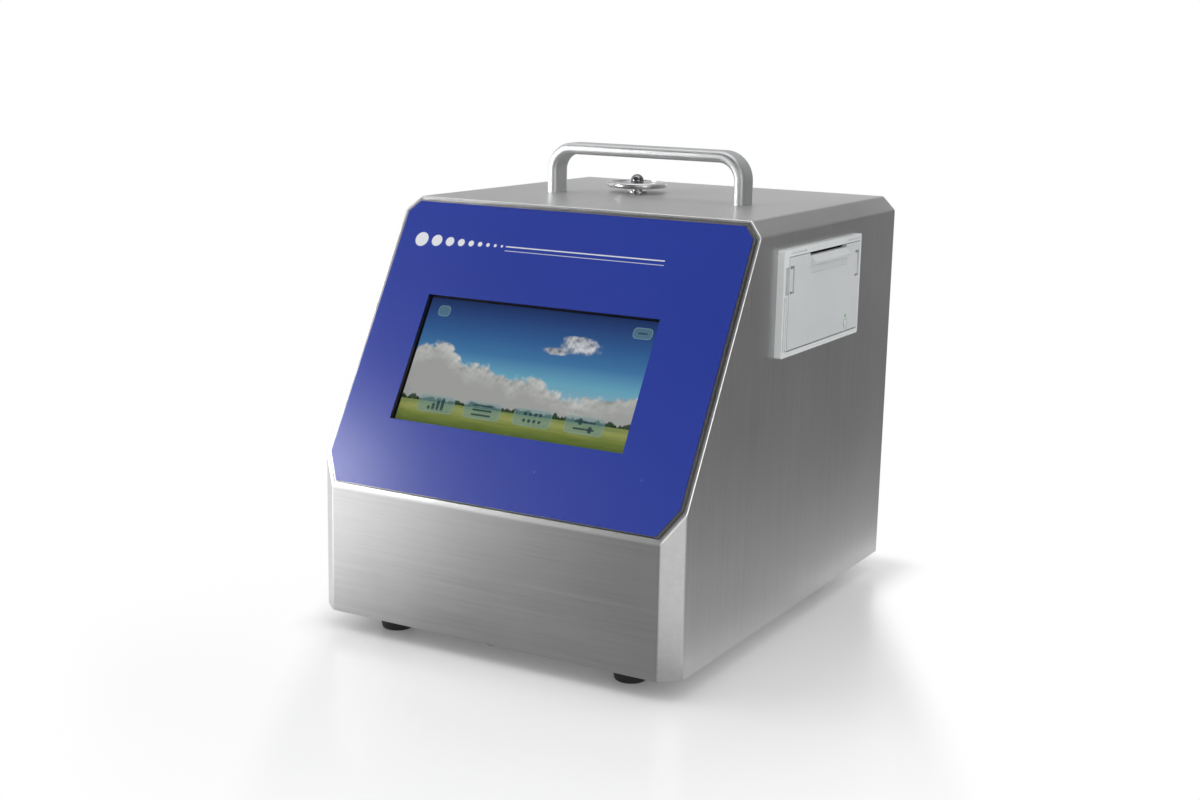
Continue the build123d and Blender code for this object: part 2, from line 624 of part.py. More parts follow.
def blower_mounts():
    """Rubber posts between base plate and volute."""
    return group(rod(6, (*p, PANEL_T), (*p, BLOWER_Z)) for p in blower_ear_points())


def exhaust_sleeve():
    ex, ez = EXHAUST_AT
    y0 = AIR[1] + EAR_AT
    return tube(DUCT_R + TUBE_FIT + TUBE_WALL, DUCT_R + TUBE_FIT, (ex, y0 + 2.5, ez), (ex, y0 + 20, ez))


def exhaust_filter():
    """Filter capsule behind the rear panel with its spigot to the outside."""
    ex, ez = EXHAUST_AT
    at = lambda y: (ex, y, ez)
    front = AIR[1] + EAR_AT + 11.5
    body = rod(DUCT_R, at(front), at(front + 12))
    can = rod(FILTER_R, at(front + 10), at(D - 8))
    can = chamfer(can.edges(), 2.5)
    body = body.fuse(can, rod(10, at(D - 9), at(REAR_IN)), rod(DUCT_R + 1, at(D - 9), at(D + 6)),
                     rod(SPIGOT_R, at(D), at(PORT_END)))
    body -= rod(DUCT_R - 2, at(D - 12), at(PORT_END + 1))
    return body - rod(DUCT_R - 2, at(front - 1), at(front + 13))


def exhaust_nut():
    ex, ez = EXHAUST_AT
    return hexagon(20, (ex, D, ez), (ex, D + 4.5, ez)) - rod(DUCT_R + 1.05, (ex, D - 1, ez), (ex, D + 9, ez))


# ---- electronics ---------------------------------------------------------------------
BOARD_Z = PANEL_T + 8.0
BOARD_X = (16.0 - RIGHT, RIGHT - 46.0)
BOARD_Y = (D - 258.0, D - 174.0)


def board_holes():
    return [(x, y) for x in (BOARD_X[0] + 7, BOARD_X[1] - 7) for y in (BOARD_Y[0] + 6, BOARD_Y[1] - 6)]


def main_board():
    """Controller board with its larger components."""
    board = box(BOARD_X, BOARD_Y, (BOARD_Z, BOARD_Z + 1.6))
    top = BOARD_Z + 1.2
    mid = sum(BOARD_X) / 2
    low = BOARD_Y[0]
    blocks = [(-55, 45, 24, 24, 3), (-10, 52, 16, 16, 2.5), (35, 30, 30, 12, 10), (65, 60, 14, 14, 16),
              (-70, 10, 18, 9, 11), (-5, 10, 34, 8, 9), (55, 12, 26, 8, 9), (15, 70, 12, 20, 4)]
    for x, y, sx, sy, h in blocks:
        spot = ((mid + x - sx / 2, mid + x + sx / 2), (low + y - sy / 2, low + y + sy / 2))
        board += box(*spot, (top, top + h))
    for y in (low + 16, low + 30):
        board += rod(6, (mid + 77, y, top), (mid + 77, y, top + 18))
    return board - [rod(1.6, (x, y, BOARD_Z - 1), (x, y, BOARD_Z + 3)) for x, y in board_holes()]


def board_standoffs():
    """Round pillars on the base plate, each with the screw that holds the board."""
    return group(rod(3, (x, y, PANEL_T), (x, y, BOARD_Z)) + rod(1.5, (x, y, BOARD_Z - 1), (x, y, BOARD_Z + 2.6)) +
                 rod(2.8, (x, y, BOARD_Z + 1.6), (x, y, BOARD_Z + 3.6)) for x, y in board_holes())


SUPPLY_X = (154.0 - RIGHT, RIGHT - 16.0)
SUPPLY_Y = (D - 162.0, D - 66.0)


def power_supply():
    """Closed supply in a vented cover."""
    (x0, x1), (y0, y1) = SUPPLY_X, SUPPLY_Y
    body = box(SUPPLY_X, SUPPLY_Y, (PANEL_T, 40))
    body = chamfer(body.edges().filter_by(Axis.Y), 1.2)
    body += box((x0 + 8, x1 - 8), (y0 - 8, y0 + 1), (6, 20))
    pitch = (x1 - x0 - 18) / 8
    slots = [box((x0 + 8 + pitch * (i + 0.1), x0 + 8 + pitch * (i + 0.55)), (y0 + 14, y1 - 14), (38.8, 42))
             for i in range(8)]
    return body - slots


BATTERY = ((2.5 - RIGHT, 39.5 - RIGHT), (D - 140.0, D - 66.0), (PANEL_T + SHEET, PANEL_T + SHEET + 66.0))


def battery_pack():
    """Shrink-wrapped pack of eight round cells."""
    (x0, x1), (y0, y1), (z0, z1) = BATTERY
    r = (x1 - x0) / 4
    cells = [rod(r - 0.05, (x0 + r * (1 + 2 * i), y0 + r * (1 + 2 * j), z0), (x0 + r * (1 + 2 * i), y0 + r * (1 + 2 * j), z1))
             for i in range(2) for j in range(4)]
    core = box((x0 + r, x1 - r), (y0 + r, y1 - r), (z0, z1))
    fill = box((x0 + 1.2, x1 - 1.2), (y0 + r, y1 - r), (z0 + 1, z1 - 1))
    return core.fuse(fill, *cells)


def battery_strap():
    """Bent strap over the pack, with one foot on the base plate."""
    (x0, x1), (y0, y1), (z0, z1) = BATTERY
    y = ((y0 + y1) / 2 - 9, (y0 + y1) / 2 + 9)
    t = 1.0
    top = box((x0, x1 + t), y, (z1, z1 + t))
    side = box((x1, x1 + t), y, (PANEL_T, z1 + t))
    return top + side


# ---- rear fittings ---------------------------------------------------------------------
def fan_screw_points():
    return [(FAN_AT[0] + sx * 25, FAN_AT[1] + sz * 25) for sx in (-1, 1) for sz in (-1, 1)]


def fan_frame():
    """Square fan frame with hub and three struts."""
    x, z = FAN_AT
    y0, y1 = REAR_IN - FAN_DEPTH, REAR_IN
    body = box((x - FAN / 2, x + FAN / 2), (y0, y1), (z - FAN / 2, z + FAN / 2))
    body = fillet(body.edges().filter_by(Axis.Y), 4)
    body -= rod(FAN_R + 0.5, (x, y0 - 1, z), (x, y1 + 1, z))
    for i in range(3):
        strut = Pos(x, y0, z) * Rot(0, 120 * i + 30, 0) * Pos(FAN_R / 2 + 3, 0.9, 0) * Box(FAN_R - 4, 1.8, 3)
        body += strut
    body += rod(13, (x, y0, z), (x, y0 + 1.8, z)) + rod(2, (x, y0 + 1, z), (x, y0 + 9, z))
    return body - [rod(SCREW_R + 0.1, (a, y0 - 1, b), (a, y1 + 1, b)) for a, b in fan_screw_points()]


def fan_rotor():
    """Seven-bladed rotor running on the frame's stub axle."""
    x, z = FAN_AT
    y0 = REAR_IN - FAN_DEPTH + 2.4
    hub = rod(12, (x, y0, z), (x, y0 + 10.5, z)) - rod(2 + 0.05, (x, y0 - 1, z), (x, y0 + 7.2, z))
    hub -= rod(10.5, (x, y0 - 1, z), (x, y0 + 2, z))
    low = (Align.MIN, Align.CENTER, Align.CENTER)
    for i in range(7):
        blade = Pos(x, y0 + 5.6, z) * Rot(0, 360 / 7 * i, 0) * Pos(11, 0, 0) * Rot(38, 0, 0) * \
            Box(FAN_R - 12.5, 1.2, 12, align=low)
        hub += blade
    return hub


def fan_guard():
    """Welded wire guard, screwed on with the fan."""
    x, z = FAN_AT
    wire = 0.9
    y = D + wire
    rings = [tube(r + wire, r - wire, (x, D + 0.2, z), (x, D + 1.8, z)) for r in (7, 14, 21, 28)]
    arms = []
    for a, b in fan_screw_points():
        dx, dz = (a - x), (b - z)
        k = 4.0 / hypot(dx, dz)
        end = 1 - 2.9 / hypot(dx, dz)
        arms.append(rod(wire - 0.15, (x + dx * k, y, z + dz * k), (x + dx * end, y, z + dz * end)))
        arms.append(tube(3.6, SCREW_R + 0.1, (a, D, b), (a, D + 1.6, b)))
    return rings[0].fuse(*rings[1:], *arms)


def fan_screws():
    return group(pan_screw((a, D + 1.8, b), (a, REAR_IN - FAN_DEPTH - 2, b)) for a, b in fan_screw_points())


def power_inlet():
    """Mains inlet with three blades and a bay for the fuse drawer."""
    x, z = INLET_AT
    flange = box((x - 25, x + 25), (D, D + 2.5), (z - 15, z + 15))
    flange = fillet(flange.edges().filter_by(Axis.Y), 3)
    body = flange + box((x - 14, x + 14), (D - 26, D + 1), (z - 11, z + 11))
    socket = box((x - 12, x + 12), (D - 14, D + 5), (z - 3.5, z + 10))
    socket = chamfer(socket.edges().filter_by(Axis.Y).sort_by(Axis.Z)[-2:], 3.5)
    body -= socket
    blades = ((-6.5, 4.2), (6.5, 4.2), (0, 5.6))
    body += [box((x + a - 1, x + a + 1), (D - 15, D - 2), (z + b - 2, z + b + 2)) for a, b in blades]
    bay = box((x - 10.3, x + 10.3), (D - 22, D + 5), (z - 10.3, z - 4.7))
    return body - bay


def fuse_drawer():
    """Small drawer with a fuse that pulls out under the socket."""
    x, z = INLET_AT
    drawer = box((x - 10, x + 10), (D - 21.5, D + 2.9), (z - 10, z - 5))
    drawer -= box((x - 8.5, x + 8.5), (D - 19, D - 1), (z - 8.8, z - 4))
    drawer += rod(1.6, (x, D - 19.5, z - 7), (x, D - 0.5, z - 7))
    return drawer - box((x - 5, x + 5), (D + 2.2, D + 4), (z - 9.2, z - 8.2))


def switch_housing():
    x, z = SWITCH_AT
    flange = box((x - 11.5, x + 11.5), (D, D + 1.6), (z - 8, z + 8))
    body = flange + box((x - 9.5, x + 9.5), (D - 16, D + 1), (z - 6, z + 6))
    body -= box((x - 8, x + 8), (D - 9, D + 3), (z - 4.6, z + 4.6))
    return body + rod(1.0, (x, D + ROCKER_Y, z - 5), (x, D + ROCKER_Y, z + 5))


def power_rocker():
    """Rocker that tips about an upright pin."""
    x, z = SWITCH_AT
    y = D + ROCKER_Y
    outline = [(-6.6, 1.2), (0, 2.6), (6.6, 3.6), (6.2, -3.5), (0, -5.5), (-6.2, -3.5)]
    top = Plane(origin=(x, y, z - 4.3), x_dir=(1, 0, 0), z_dir=(0, 0, 1))
    body = prism(outline, top, 8.6)
    return body - rod(1.05, (x, y, z - 6), (x, y, z + 6))


def serial_port():
    """D-shaped data connector with its flange and hex posts."""
    x, z = PORT_AT
    flange = box((x - 15.5, x + 15.5), (D, D + 1), (z - 6.2, z + 6.2))
    flange = fillet(flange.edges().filter_by(Axis.Y), 1)
    shell_pts = [(-8.6, 3.9), (8.6, 3.9), (7.4, -3.9), (-7.4, -3.9)]
    plane = Plane(origin=(x, D, z), x_dir=(-1, 0, 0), z_dir=(0, 1, 0))
    back = box((x - 9.6, x + 9.6), (D - 10, D + 0.5), (z - 5.2, z + 5.2))
    nose = prism(shell_pts, plane, 6.5)
    inner_pts = [(a - (0.9 if a > 0 else -0.9), b - (0.8 if b > 0 else -0.8)) for a, b in shell_pts]
    hollow = prism(inner_pts, plane.offset(1.5), 8)
    posts = [hexagon(5, (x + s * 12.5, D + 0.5, z), (x + s * 12.5, D + 5, z)) for s in (-1, 1)]
    body = flange.fuse(back, nose, *posts) - hollow
    pins = [rod(0.5, (x + a, D + 1, z + b), (x + a, D + 5.5, z + b))
            for a, b in [(-5 + 2.5 * i, 1.4) for i in range(5)] + [(-3.75 + 2.5 * i, -1.4) for i in range(4)]]
    return body.fuse(*pins)


# ---- printer -----------------------------------------------------------------------------
FACE_X = RIGHT + PR_PROUD
DOOR_Y = (PR_Y[0] + PR_STRIP + DOOR_GAP, PR_Y[1] - 2.2 - DOOR_GAP)
DOOR_X = (FACE_X - DOOR_T + 0.3, FACE_X + 0.3)
DOOR_TOP = PR_Z[1] - 4.6
HINGE_X = (DOOR_X[0] + DOOR_X[1]) / 2
IN_Y = (PR_Y[0] + PR_RIM + PR_WALL, PR_Y[1] - PR_RIM - PR_WALL)
IN_Z = (PR_Z[0] + PR_RIM + PR_WALL, PR_Z[1] - PR_RIM - PR_WALL)
BACK_X = RIGHT - PR_DEPTH
PADDLE_Z = (LATCH_Z - 6.0, LATCH_Z + 7.0)
HOOK_X = RIGHT - 8.8      # inner end of the latch hooks
ARM_Y = ((DOOR_Y[0] + 1.6, DOOR_Y[0] + 6.4), (IN_Y[1] - 5.4, IN_Y[1] - 0.6))


def printer_housing():
    """Bezel and bucket in one moulding; the bezel's rim rests on the casing side."""
    bezel = box((RIGHT, FACE_X), PR_Y, PR_Z)
    bezel = fillet(bezel.edges().filter_by(Axis.X), 1.6)
    y, z = printer_cutout(0)
    body = bezel + box((BACK_X, RIGHT + 1), y, z)
    body -= box((BACK_X + PR_WALL, RIGHT + 0.9), IN_Y, IN_Z)
    opening = box((RIGHT + 0.5, FACE_X + 2), (DOOR_Y[0] - DOOR_GAP, DOOR_Y[1] + DOOR_GAP),
                  (HINGE_Z - DOOR_T / 2 - DOOR_GAP, DOOR_TOP + DOOR_GAP))
    body -= opening
    body -= [rod(PIN_R + PIN_FIT, (HINGE_X, DOOR_Y[0] - 2.4, HINGE_Z), (HINGE_X, DOOR_Y[0], HINGE_Z)),
             rod(PIN_R + PIN_FIT, (HINGE_X, DOOR_Y[1], HINGE_Z), (HINGE_X, DOOR_Y[1] + 1.8, HINGE_Z))]
    ribs = [box((FACE_X - 1.4, FACE_X + 1), (PR_Y[0] + a, PR_Y[0] + a + 1.5), (PR_Z[0] + 3.5, PADDLE_Z[0] - 2.6))
            for a in (1.9, 4.6)]
    pocket = box((FACE_X - 2.9, FACE_X + 1), (PR_Y[0] + 3.0, DOOR_Y[0]), (PADDLE_Z[0] - 1.5, PADDLE_Z[1] + 1.5))
    marks = [box((FACE_X - 0.8, FACE_X + 1), (a, a + 21), (PR_Z[1] - 3.0, PR_Z[1] - 1.8))
             for a in (PR_Y[0] + 10.5, PR_Y[1] - 22.5)]
    body -= ribs + [pocket] + marks
    keepers = [box((HOOK_X + 2.0, HOOK_X + 4.0), (a[0] - 0.3, min(a[1] + 0.3, IN_Y[1] + 0.2)),
                   (IN_Z[1] - 1.2, IN_Z[1] + 0.2)) for a in ARM_Y]
    return body.fuse(*keepers)


def printer_door():
    """Flap with tear-off lip, latch pockets, hinge pins and ears for roller and latch."""
    r = DOOR_T / 2
    panel = box(DOOR_X, DOOR_Y, (HINGE_Z, DOOR_TOP))
    panel += rod(r, (HINGE_X, DOOR_Y[0], HINGE_Z), (HINGE_X, DOOR_Y[1], HINGE_Z))
    panel += rod(PIN_R, (HINGE_X, DOOR_Y[0] - 2.0, HINGE_Z), (HINGE_X, DOOR_Y[1] + 1.5, HINGE_Z))
    panel -= box((FACE_X - 8, FACE_X + 2), SLOT_Y, (DOOR_TOP - 1.6, DOOR_TOP + 1))
    lip_out = RIGHT + LIP_PROUD
    top = DOOR_TOP - 1.6
    lip = prism([(DOOR_X[1] - 0.5, top), (DOOR_X[1], top), (lip_out, top - 3.6), (lip_out, top - 4.4),
                 (DOOR_X[1] - 0.5, top - 6.4)], Plane.XZ.offset(-SLOT_Y[0] - 0.8), -(SLOT_Y[1] - SLOT_Y[0] - 1.6))
    teeth = [prism([(lip_out + 1, y), (lip_out + 1, y + 1.7), (lip_out - 0.9, y + 0.85)], Plane.XY.offset(top - 7), 6)
             for y in [SLOT_Y[0] + 1.6 + 2.0 * i for i in range(26)]]
    panel = panel + lip
    panel -= teeth
    panel -= box((DOOR_X[1] - 0.35, FACE_X + 1), (SLOT_Y[0] + 1, SLOT_Y[1] + 2), (top - 10.5, top - 6.5))
    for arm in ARM_Y:
        y0 = arm[0] - 0.6
        y1 = arm[1] + 0.6
        panel -= box((DOOR_X[0] - 1, FACE_X + 2), (y0, y1), (PADDLE_Z[0] - 1.2, PADDLE_Z[1] + 1.9))
    by, bz = BUTTON_AT
    drop = rod(3.6, (DOOR_X[1] - 0.4, by, bz), (FACE_X + 2, by, bz))
    drop += prism([(by - 3.2, bz + 1.6), (by + 3.2, bz + 1.6), (by + 0.9, bz + 6.4), (by - 0.9, bz + 6.4)],
                  Plane.YZ.offset(DOOR_X[1] - 0.4), 3)
    panel -= [drop, rod(BUTTON_R + 0.3, (RIGHT - 5, by, bz), (FACE_X + 2, by, bz)),
              rod(1.05, (RIGHT - 5, by, bz + LED_UP), (FACE_X + 2, by, bz + LED_UP))]
    ears = []
    for y in (ARM_Y[0][1] + 1.4, ARM_Y[1][0] - 3.4):
        ears.append(box((LATCH_X - 2.6, DOOR_X[0] + 0.5), (y, y + 2), (LATCH_Z - 2.6, LATCH_Z + 2.6)) -
                    rod(1.55, (LATCH_X, y - 1, LATCH_Z), (LATCH_X, y + 3, LATCH_Z)))
    px, pz = PLATEN_AT
    for y in (SLOT_Y[0] - 7.5, SLOT_Y[1] + 5.0):
        ears.append(box((px - 2.8, DOOR_X[0] + 0.5), (y, y + 2.5), (pz - 2.8, pz + 2.8)) -
                    rod(PLATEN_SHAFT_R + PIN_FIT, (px, y - 1, pz), (px, y + 4, pz)))
    return panel.fuse(*ears)


def door_latch():
    """Cross rod with a paddle and a hook at each end."""
    y0, y1 = ARM_Y[0][0], ARM_Y[1][1]
    body = rod(1.5, (LATCH_X, y0 + 0.5, LATCH_Z), (LATCH_X, y1 - 0.5, LATCH_Z))
    for arm in ARM_Y:
        paddle = box((FACE_X - 2.0, FACE_X - 0.4), arm, PADDLE_Z)
        web = box((LATCH_X - 1.5, FACE_X - 1.0), arm, (LATCH_Z - 1.6, LATCH_Z + 1.6))
        hook = box((LATCH_X - 1.4, LATCH_X + 1.2), arm, (LATCH_Z, IN_Z[1] - 4.2))
        hook += box((HOOK_X, LATCH_X + 1.2), arm, (IN_Z[1] - 4.6, IN_Z[1] - 2.6))
        hook += box((HOOK_X, HOOK_X + 1.6), arm, (IN_Z[1] - 4.6, IN_Z[1] - 2.3))
        body = body.fuse(paddle, web, hook)
    return body


def platen_shaft():
    """Steel shaft of the platen with its drive gear."""
    x, z = PLATEN_AT
    shaft = rod(PLATEN_SHAFT_R, (x, SLOT_Y[0] - 9, z), (x, SLOT_Y[1] + 11.8, z))
    gear_y = SLOT_Y[1] + 9.7
    gear = rod(4.2, (x, gear_y - 1.7, z), (x, gear_y + 1.7, z))
    for i in range(16):
        tooth = Pos(x, gear_y, z) * Rot(0, 22.5 * i, 0) * Pos(4.5, 0, 0) * Box(1.4, 3.4, 0.9)
        gear += tooth
    return shaft + gear


def platen_roller():
    x, z = PLATEN_AT
    return tube(PLATEN_R, PLATEN_SHAFT_R, (x, SLOT_Y[0] - 1, z), (x, SLOT_Y[1] + 1, z))


def thermal_head():
    """Print head on its aluminium heat spreader, hung from the bucket's roof."""
    x = PLATEN_AT[0] - PLATEN_R - 0.35
    y = (SLOT_Y[0] - 3, SLOT_Y[1] + 3)
    body = box((x - 12, x - 1), y, (IN_Z[1] - 12, IN_Z[1]))
    body += box((x - 1.2, x), (y[0] + 1, y[1] - 1), (PLATEN_AT[1] - 4, PLATEN_AT[1] + 4))
    return body - [box((x - 11 + 3 * i, x - 9.6 + 3 * i), (y[0] + 5, y[1] - 5), (IN_Z[1] - 13, IN_Z[1] - 8)) for i in range(3)]


def feed_motor():
    """Stepper motor on a closed gearbox beside the head."""
    y = SLOT_Y[1] + 4.0
    box_y = (y, y + 5.0)
    body = box((BACK_X + 4, RIGHT - 11.5), box_y, (IN_Z[1] - 15, IN_Z[1]))
    return body + rod(7, (BACK_X + 12, y - 20, IN_Z[1] - 7.6), (BACK_X + 12, y + 1, IN_Z[1] - 7.6))


def feed_button():
    """Button cap with a flange behind the door and a short plunger."""
    y, z = BUTTON_AT
    at = lambda x: (x, y, z)
    cap = rod(BUTTON_R, at(DOOR_X[0] - 1), at(FACE_X + 0.6))
    cap = fillet(cap.edges().sort_by(Axis.X)[-1], 0.5)
    flange = rod(BUTTON_R + 0.9, at(DOOR_X[0] - 1.4), at(DOOR_X[0] - 0.3))
    return cap + flange + rod(1.4, at(DOOR_X[0] - 2.6), at(DOOR_X[0] - 1.2))


def status_led():
    y, z = BUTTON_AT
    at = lambda x: (x, y, z + LED_UP)
    body = rod(1.0, at(DOOR_X[0] - 1), at(FACE_X + 0.1))
    return fillet(body.edges().sort_by(Axis.X)[-1], 0.4) + rod(1.35, at(DOOR_X[0] - 1.2), at(DOOR_X[0]))


def paper_roll():
    """Roll of thermal paper lying in the bucket."""
    x, z = RIGHT - 24.0, IN_Z[0] + ROLL_R
    y = (SLOT_Y[0] + SLOT_Y[1]) / 2
    return tube(ROLL_R, 6, (x, y - PAPER_W / 2, z), (x, y + PAPER_W / 2, z))


# ---- all parts -----------------------------------------------------------------------------
BUILDERS = [
    casing_shell, base_plate, rear_panel, case_screws,
    front_panel_plate, panel_overlay, panel_nuts, touch_glass, display_module, display_bracket,
    display_screws, display_board, carry_handle, handle_screws,
    inlet_nozzle, inlet_seal, inlet_nut, inlet_cap, sample_tube, optical_chamber, laser_module,
    detector_unit, sensor_bracket, outlet_tube, blower_volute, blower_cover, blower_impeller,
    blower_motor, blower_mounts, exhaust_sleeve, exhaust_filter, exhaust_nut,
    main_board, board_standoffs, power_supply, battery_pack, battery_strap,
    fan_frame, fan_rotor, fan_guard, fan_screws, power_inlet, fuse_drawer, switch_housing, power_rocker, serial_port,
    printer_housing, printer_door, door_latch, platen_shaft, platen_roller, thermal_head,
    feed_motor, feed_button, status_led, paper_roll,
]


def build():
    parts = {make.__name__: make() for make in BUILDERS}
    for name, (x, y) in foot_points().items():
        parts[name] = foot(x, y)
    return parts


os.makedirs("parts", exist_ok=True)
for name, shape in build().items():
    export_step(SHIFT * shape, f"parts/{name}.step")
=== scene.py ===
# %% [markdown]
# # A portable airborne particle counter
#
# The instrument is a folded stainless box with a slanted panel, a carrying handle, a polished
# sampling inlet and a small printer in its side. All rigid shapes arrive as a fixed frame.
# This notebook gives them their finishes, draws the print and the picture on the screen, and
# lights the instrument like a studio picture.

# %% Load the frame
import math

import bpy
from mathutils import Matrix, Vector


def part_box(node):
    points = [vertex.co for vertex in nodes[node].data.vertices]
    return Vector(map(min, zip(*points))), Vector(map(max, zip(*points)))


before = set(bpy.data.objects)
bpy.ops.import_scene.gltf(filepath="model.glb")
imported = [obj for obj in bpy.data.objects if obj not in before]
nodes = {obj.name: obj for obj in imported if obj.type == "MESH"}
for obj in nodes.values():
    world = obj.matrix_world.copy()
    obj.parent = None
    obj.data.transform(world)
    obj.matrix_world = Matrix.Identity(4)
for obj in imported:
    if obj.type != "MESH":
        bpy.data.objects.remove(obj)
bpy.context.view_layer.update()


# %% [markdown]
# ## Landmarks
#
# Positions are read from the frame, so that a finish stays in place when a size changes.
# The slanted panel needs its own directions: across, up the slope and out of it. They come
# from the overlay, whose box gives the rise and the run of the slope.

# %% Landmarks
def size_of(name):
    low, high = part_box(name)
    return Vector(high) - Vector(low)


def middle_of(name):
    low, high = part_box(name)
    return (Vector(high) + Vector(low)) / 2


overlay_size = size_of("panel_overlay")
slope_angle = math.atan2(overlay_size.y, overlay_size.z)
up_slope = Vector((0, math.sin(slope_angle), math.cos(slope_angle)))
out_slope = Vector((0, -math.cos(slope_angle), math.sin(slope_angle)))
display_middle = middle_of("display_module")
overlay_middle = middle_of("panel_overlay")
print("slope leans back", round(math.degrees(slope_angle), 1), "degrees")


# %% [markdown]
# ## Helpers for shader nodes
#
# A material is a small network of nodes. It could be linked by hand in the shader editor, but
# four helpers keep it readable as text: one adds any node and feeds its sockets, two are
# short forms for sums and for vectors, and one mixes two colours.

# %% Node helpers
def put(tree, kind, *feeds, **settings):
    """Adds a node. Feeds go to its sockets in order: None skips one, a socket is linked."""
    made = tree.nodes.new("ShaderNode" + kind)
    named = settings.pop("named", {})
    for key, value in settings.items():
        setattr(made, key, value)
    for place, feed in list(enumerate(feeds)) + list(named.items()):
        if feed is None:
            continue
        if isinstance(feed, bpy.types.NodeSocket):
            tree.links.new(feed, made.inputs[place])
        else:
            made.inputs[place].default_value = feed
    return made


def math_node(tree, operation, *feeds):
    return put(tree, "Math", *feeds, operation=operation).outputs[0]


def vector_node(tree, operation, *feeds, out=0):
    return put(tree, "VectorMath", *feeds, operation=operation).outputs[out]


def mix_colour(tree, factor, a, b, blend="MIX"):
    """Mixes two colours; sockets 6 and 7 are the colour inputs of a Mix node."""
    made = tree.nodes.new("ShaderNodeMix")
    made.data_type = "RGBA"
    made.blend_type = blend
    for place, feed in ((0, factor), (6, a), (7, b)):
        if isinstance(feed, bpy.types.NodeSocket):
            tree.links.new(feed, made.inputs[place])
        else:
            made.inputs[place].default_value = feed
    return made.outputs[2]


print("node helpers ready")


# %% [markdown]
# ## Helpers for groups and materials
#
# An effect that several finishes share is kept in a node group, built once and placed in each
# material with its own values. Copies of the nodes in every material would drift apart. These
# helpers make an empty group, place it, and start a material from a single shader.

# %% Group and material helpers
def new_group(name, inputs, outputs):
    """An empty shader node group; inputs are (name, kind, value), outputs (name, kind)."""
    tree = bpy.data.node_groups.new(name, "ShaderNodeTree")
    for label, kind, value in inputs:
        socket = tree.interface.new_socket(label, in_out="INPUT", socket_type="NodeSocket" + kind)
        socket.default_value = value
    for label, kind in outputs:
        tree.interface.new_socket(label, in_out="OUTPUT", socket_type="NodeSocket" + kind)
    return tree, tree.nodes.new("NodeGroupInput").outputs, tree.nodes.new("NodeGroupOutput").inputs


def place_group(tree, group, **values):
    """Places a group in a material and sets its inputs; underscores stand for spaces."""
    made = tree.nodes.new("ShaderNodeGroup")
    made.node_tree = group
    for key, value in values.items():
        socket = made.inputs[key.replace("_", " ")]
        if isinstance(value, bpy.types.NodeSocket):
            tree.links.new(value, socket)
        else:
            socket.default_value = value
    return made.outputs


def new_material(name, base=(0.8, 0.8, 0.8), **values):
    """A material with one Principled shader; values are set on its own sockets."""
    material = bpy.data.materials.new(name)
    material.use_nodes = True
    shader = material.node_tree.nodes["Principled BSDF"]
    shader.inputs["Base Color"].default_value = (*base, 1)
    for key, value in values.items():
        shader.inputs[key.replace("_", " ")].default_value = value
    return material, material.node_tree, shader


def feed(tree, shader, **links):
    """Links sockets to the shader's own inputs, by name."""
    for key, socket in links.items():
        tree.links.new(socket, shader.inputs[key.replace("_", " ")])


print("group and material helpers ready")


# %% [markdown]
# ## Helpers for masks and finishes
#
# Noise hovers round one half, so it is spread out before it is used as a mask. A mask can pick
# between two tones or lay a mark over a finish. The last helper gives a finished material to
# pieces of the frame in place of their plain one.

# %% Mask and finish helpers
def spread(tree, value, low, high):
    """Maps a mask that hovers round one half onto a range."""
    return put(tree, "MapRange", value, 0.3, 0.7, low, high).outputs[0]


def tint(tree, mask, dark, light):
    """Colour between two tones by a mask."""
    return mix_colour(tree, spread(tree, mask, 0.0, 1.0), (*dark, 1), (*light, 1))


def overprint(material, mask, colour):
    """Lays a flat colour over a finished material where the mask is 1."""
    tree = material.node_tree
    shader = tree.nodes["Principled BSDF"]
    under = shader.inputs["Base Color"].links[0].from_socket
    feed(tree, shader, Base_Color=mix_colour(tree, mask, under, (*colour, 1)))


def dress(material, *names):
    """Gives a finish to pieces of the frame."""
    for name in names:
        for slot in nodes[name].material_slots:
            slot.material = material
    print(material.name, "on", ", ".join(names))


print("mask and finish helpers ready")


# %% [markdown]
# ## Brushed grain
#
# Brushed stainless is covered with fine parallel scratches. They run along the width on the
# front and the top and upright on the sides, because each face was brushed before folding.
# A scanned image of scratches would repeat, so stretched noise makes them: the coordinates
# are scaled up across the grain. One group serves all sheet, and it turns the grain by the
# face's own normal.

# %% Brushed grain group
SIDE_FACE = 0.8
FINE_SHARE, BROAD_SHARE = 0.72, 0.28
BROAD_SCALE = 0.16
brushed, takes, gives = new_group(
    "brushed grain",
    [("Fine scale", "Float", 2600.0), ("Stretch", "Float", 130.0), ("Depth", "Float", 0.3)],
    [("Streaks", "Float"), ("Clouds", "Float"), ("Normal", "Vector")])
where = put(brushed, "TexCoord").outputs
sideways = put(brushed, "SeparateXYZ", where["Normal"]).outputs[0]
on_side = math_node(brushed, "GREATER_THAN", math_node(brushed, "ABSOLUTE", sideways), SIDE_FACE)
slow = math_node(brushed, "DIVIDE", takes["Fine scale"], takes["Stretch"])
along_x = put(brushed, "CombineXYZ", slow, takes["Fine scale"], takes["Fine scale"]).outputs[0]
along_z = put(brushed, "CombineXYZ", takes["Fine scale"], takes["Fine scale"], slow).outputs[0]
scales = put(brushed, "Mix", on_side, None, None, None, along_x, along_z, data_type="VECTOR").outputs[1]
stretched = vector_node(brushed, "MULTIPLY", where["Object"], scales)
fine = put(brushed, "TexNoise", stretched, None, 1.0, 3.0, 0.6).outputs[0]
wider = put(brushed, "VectorMath", stretched, named={"Scale": BROAD_SCALE}, operation="SCALE").outputs[0]
broad = put(brushed, "TexNoise", wider, None, 1.0, 2.0, 0.5).outputs[0]
streaks = math_node(brushed, "ADD", math_node(brushed, "MULTIPLY", fine, FINE_SHARE),
                    math_node(brushed, "MULTIPLY", broad, BROAD_SHARE))
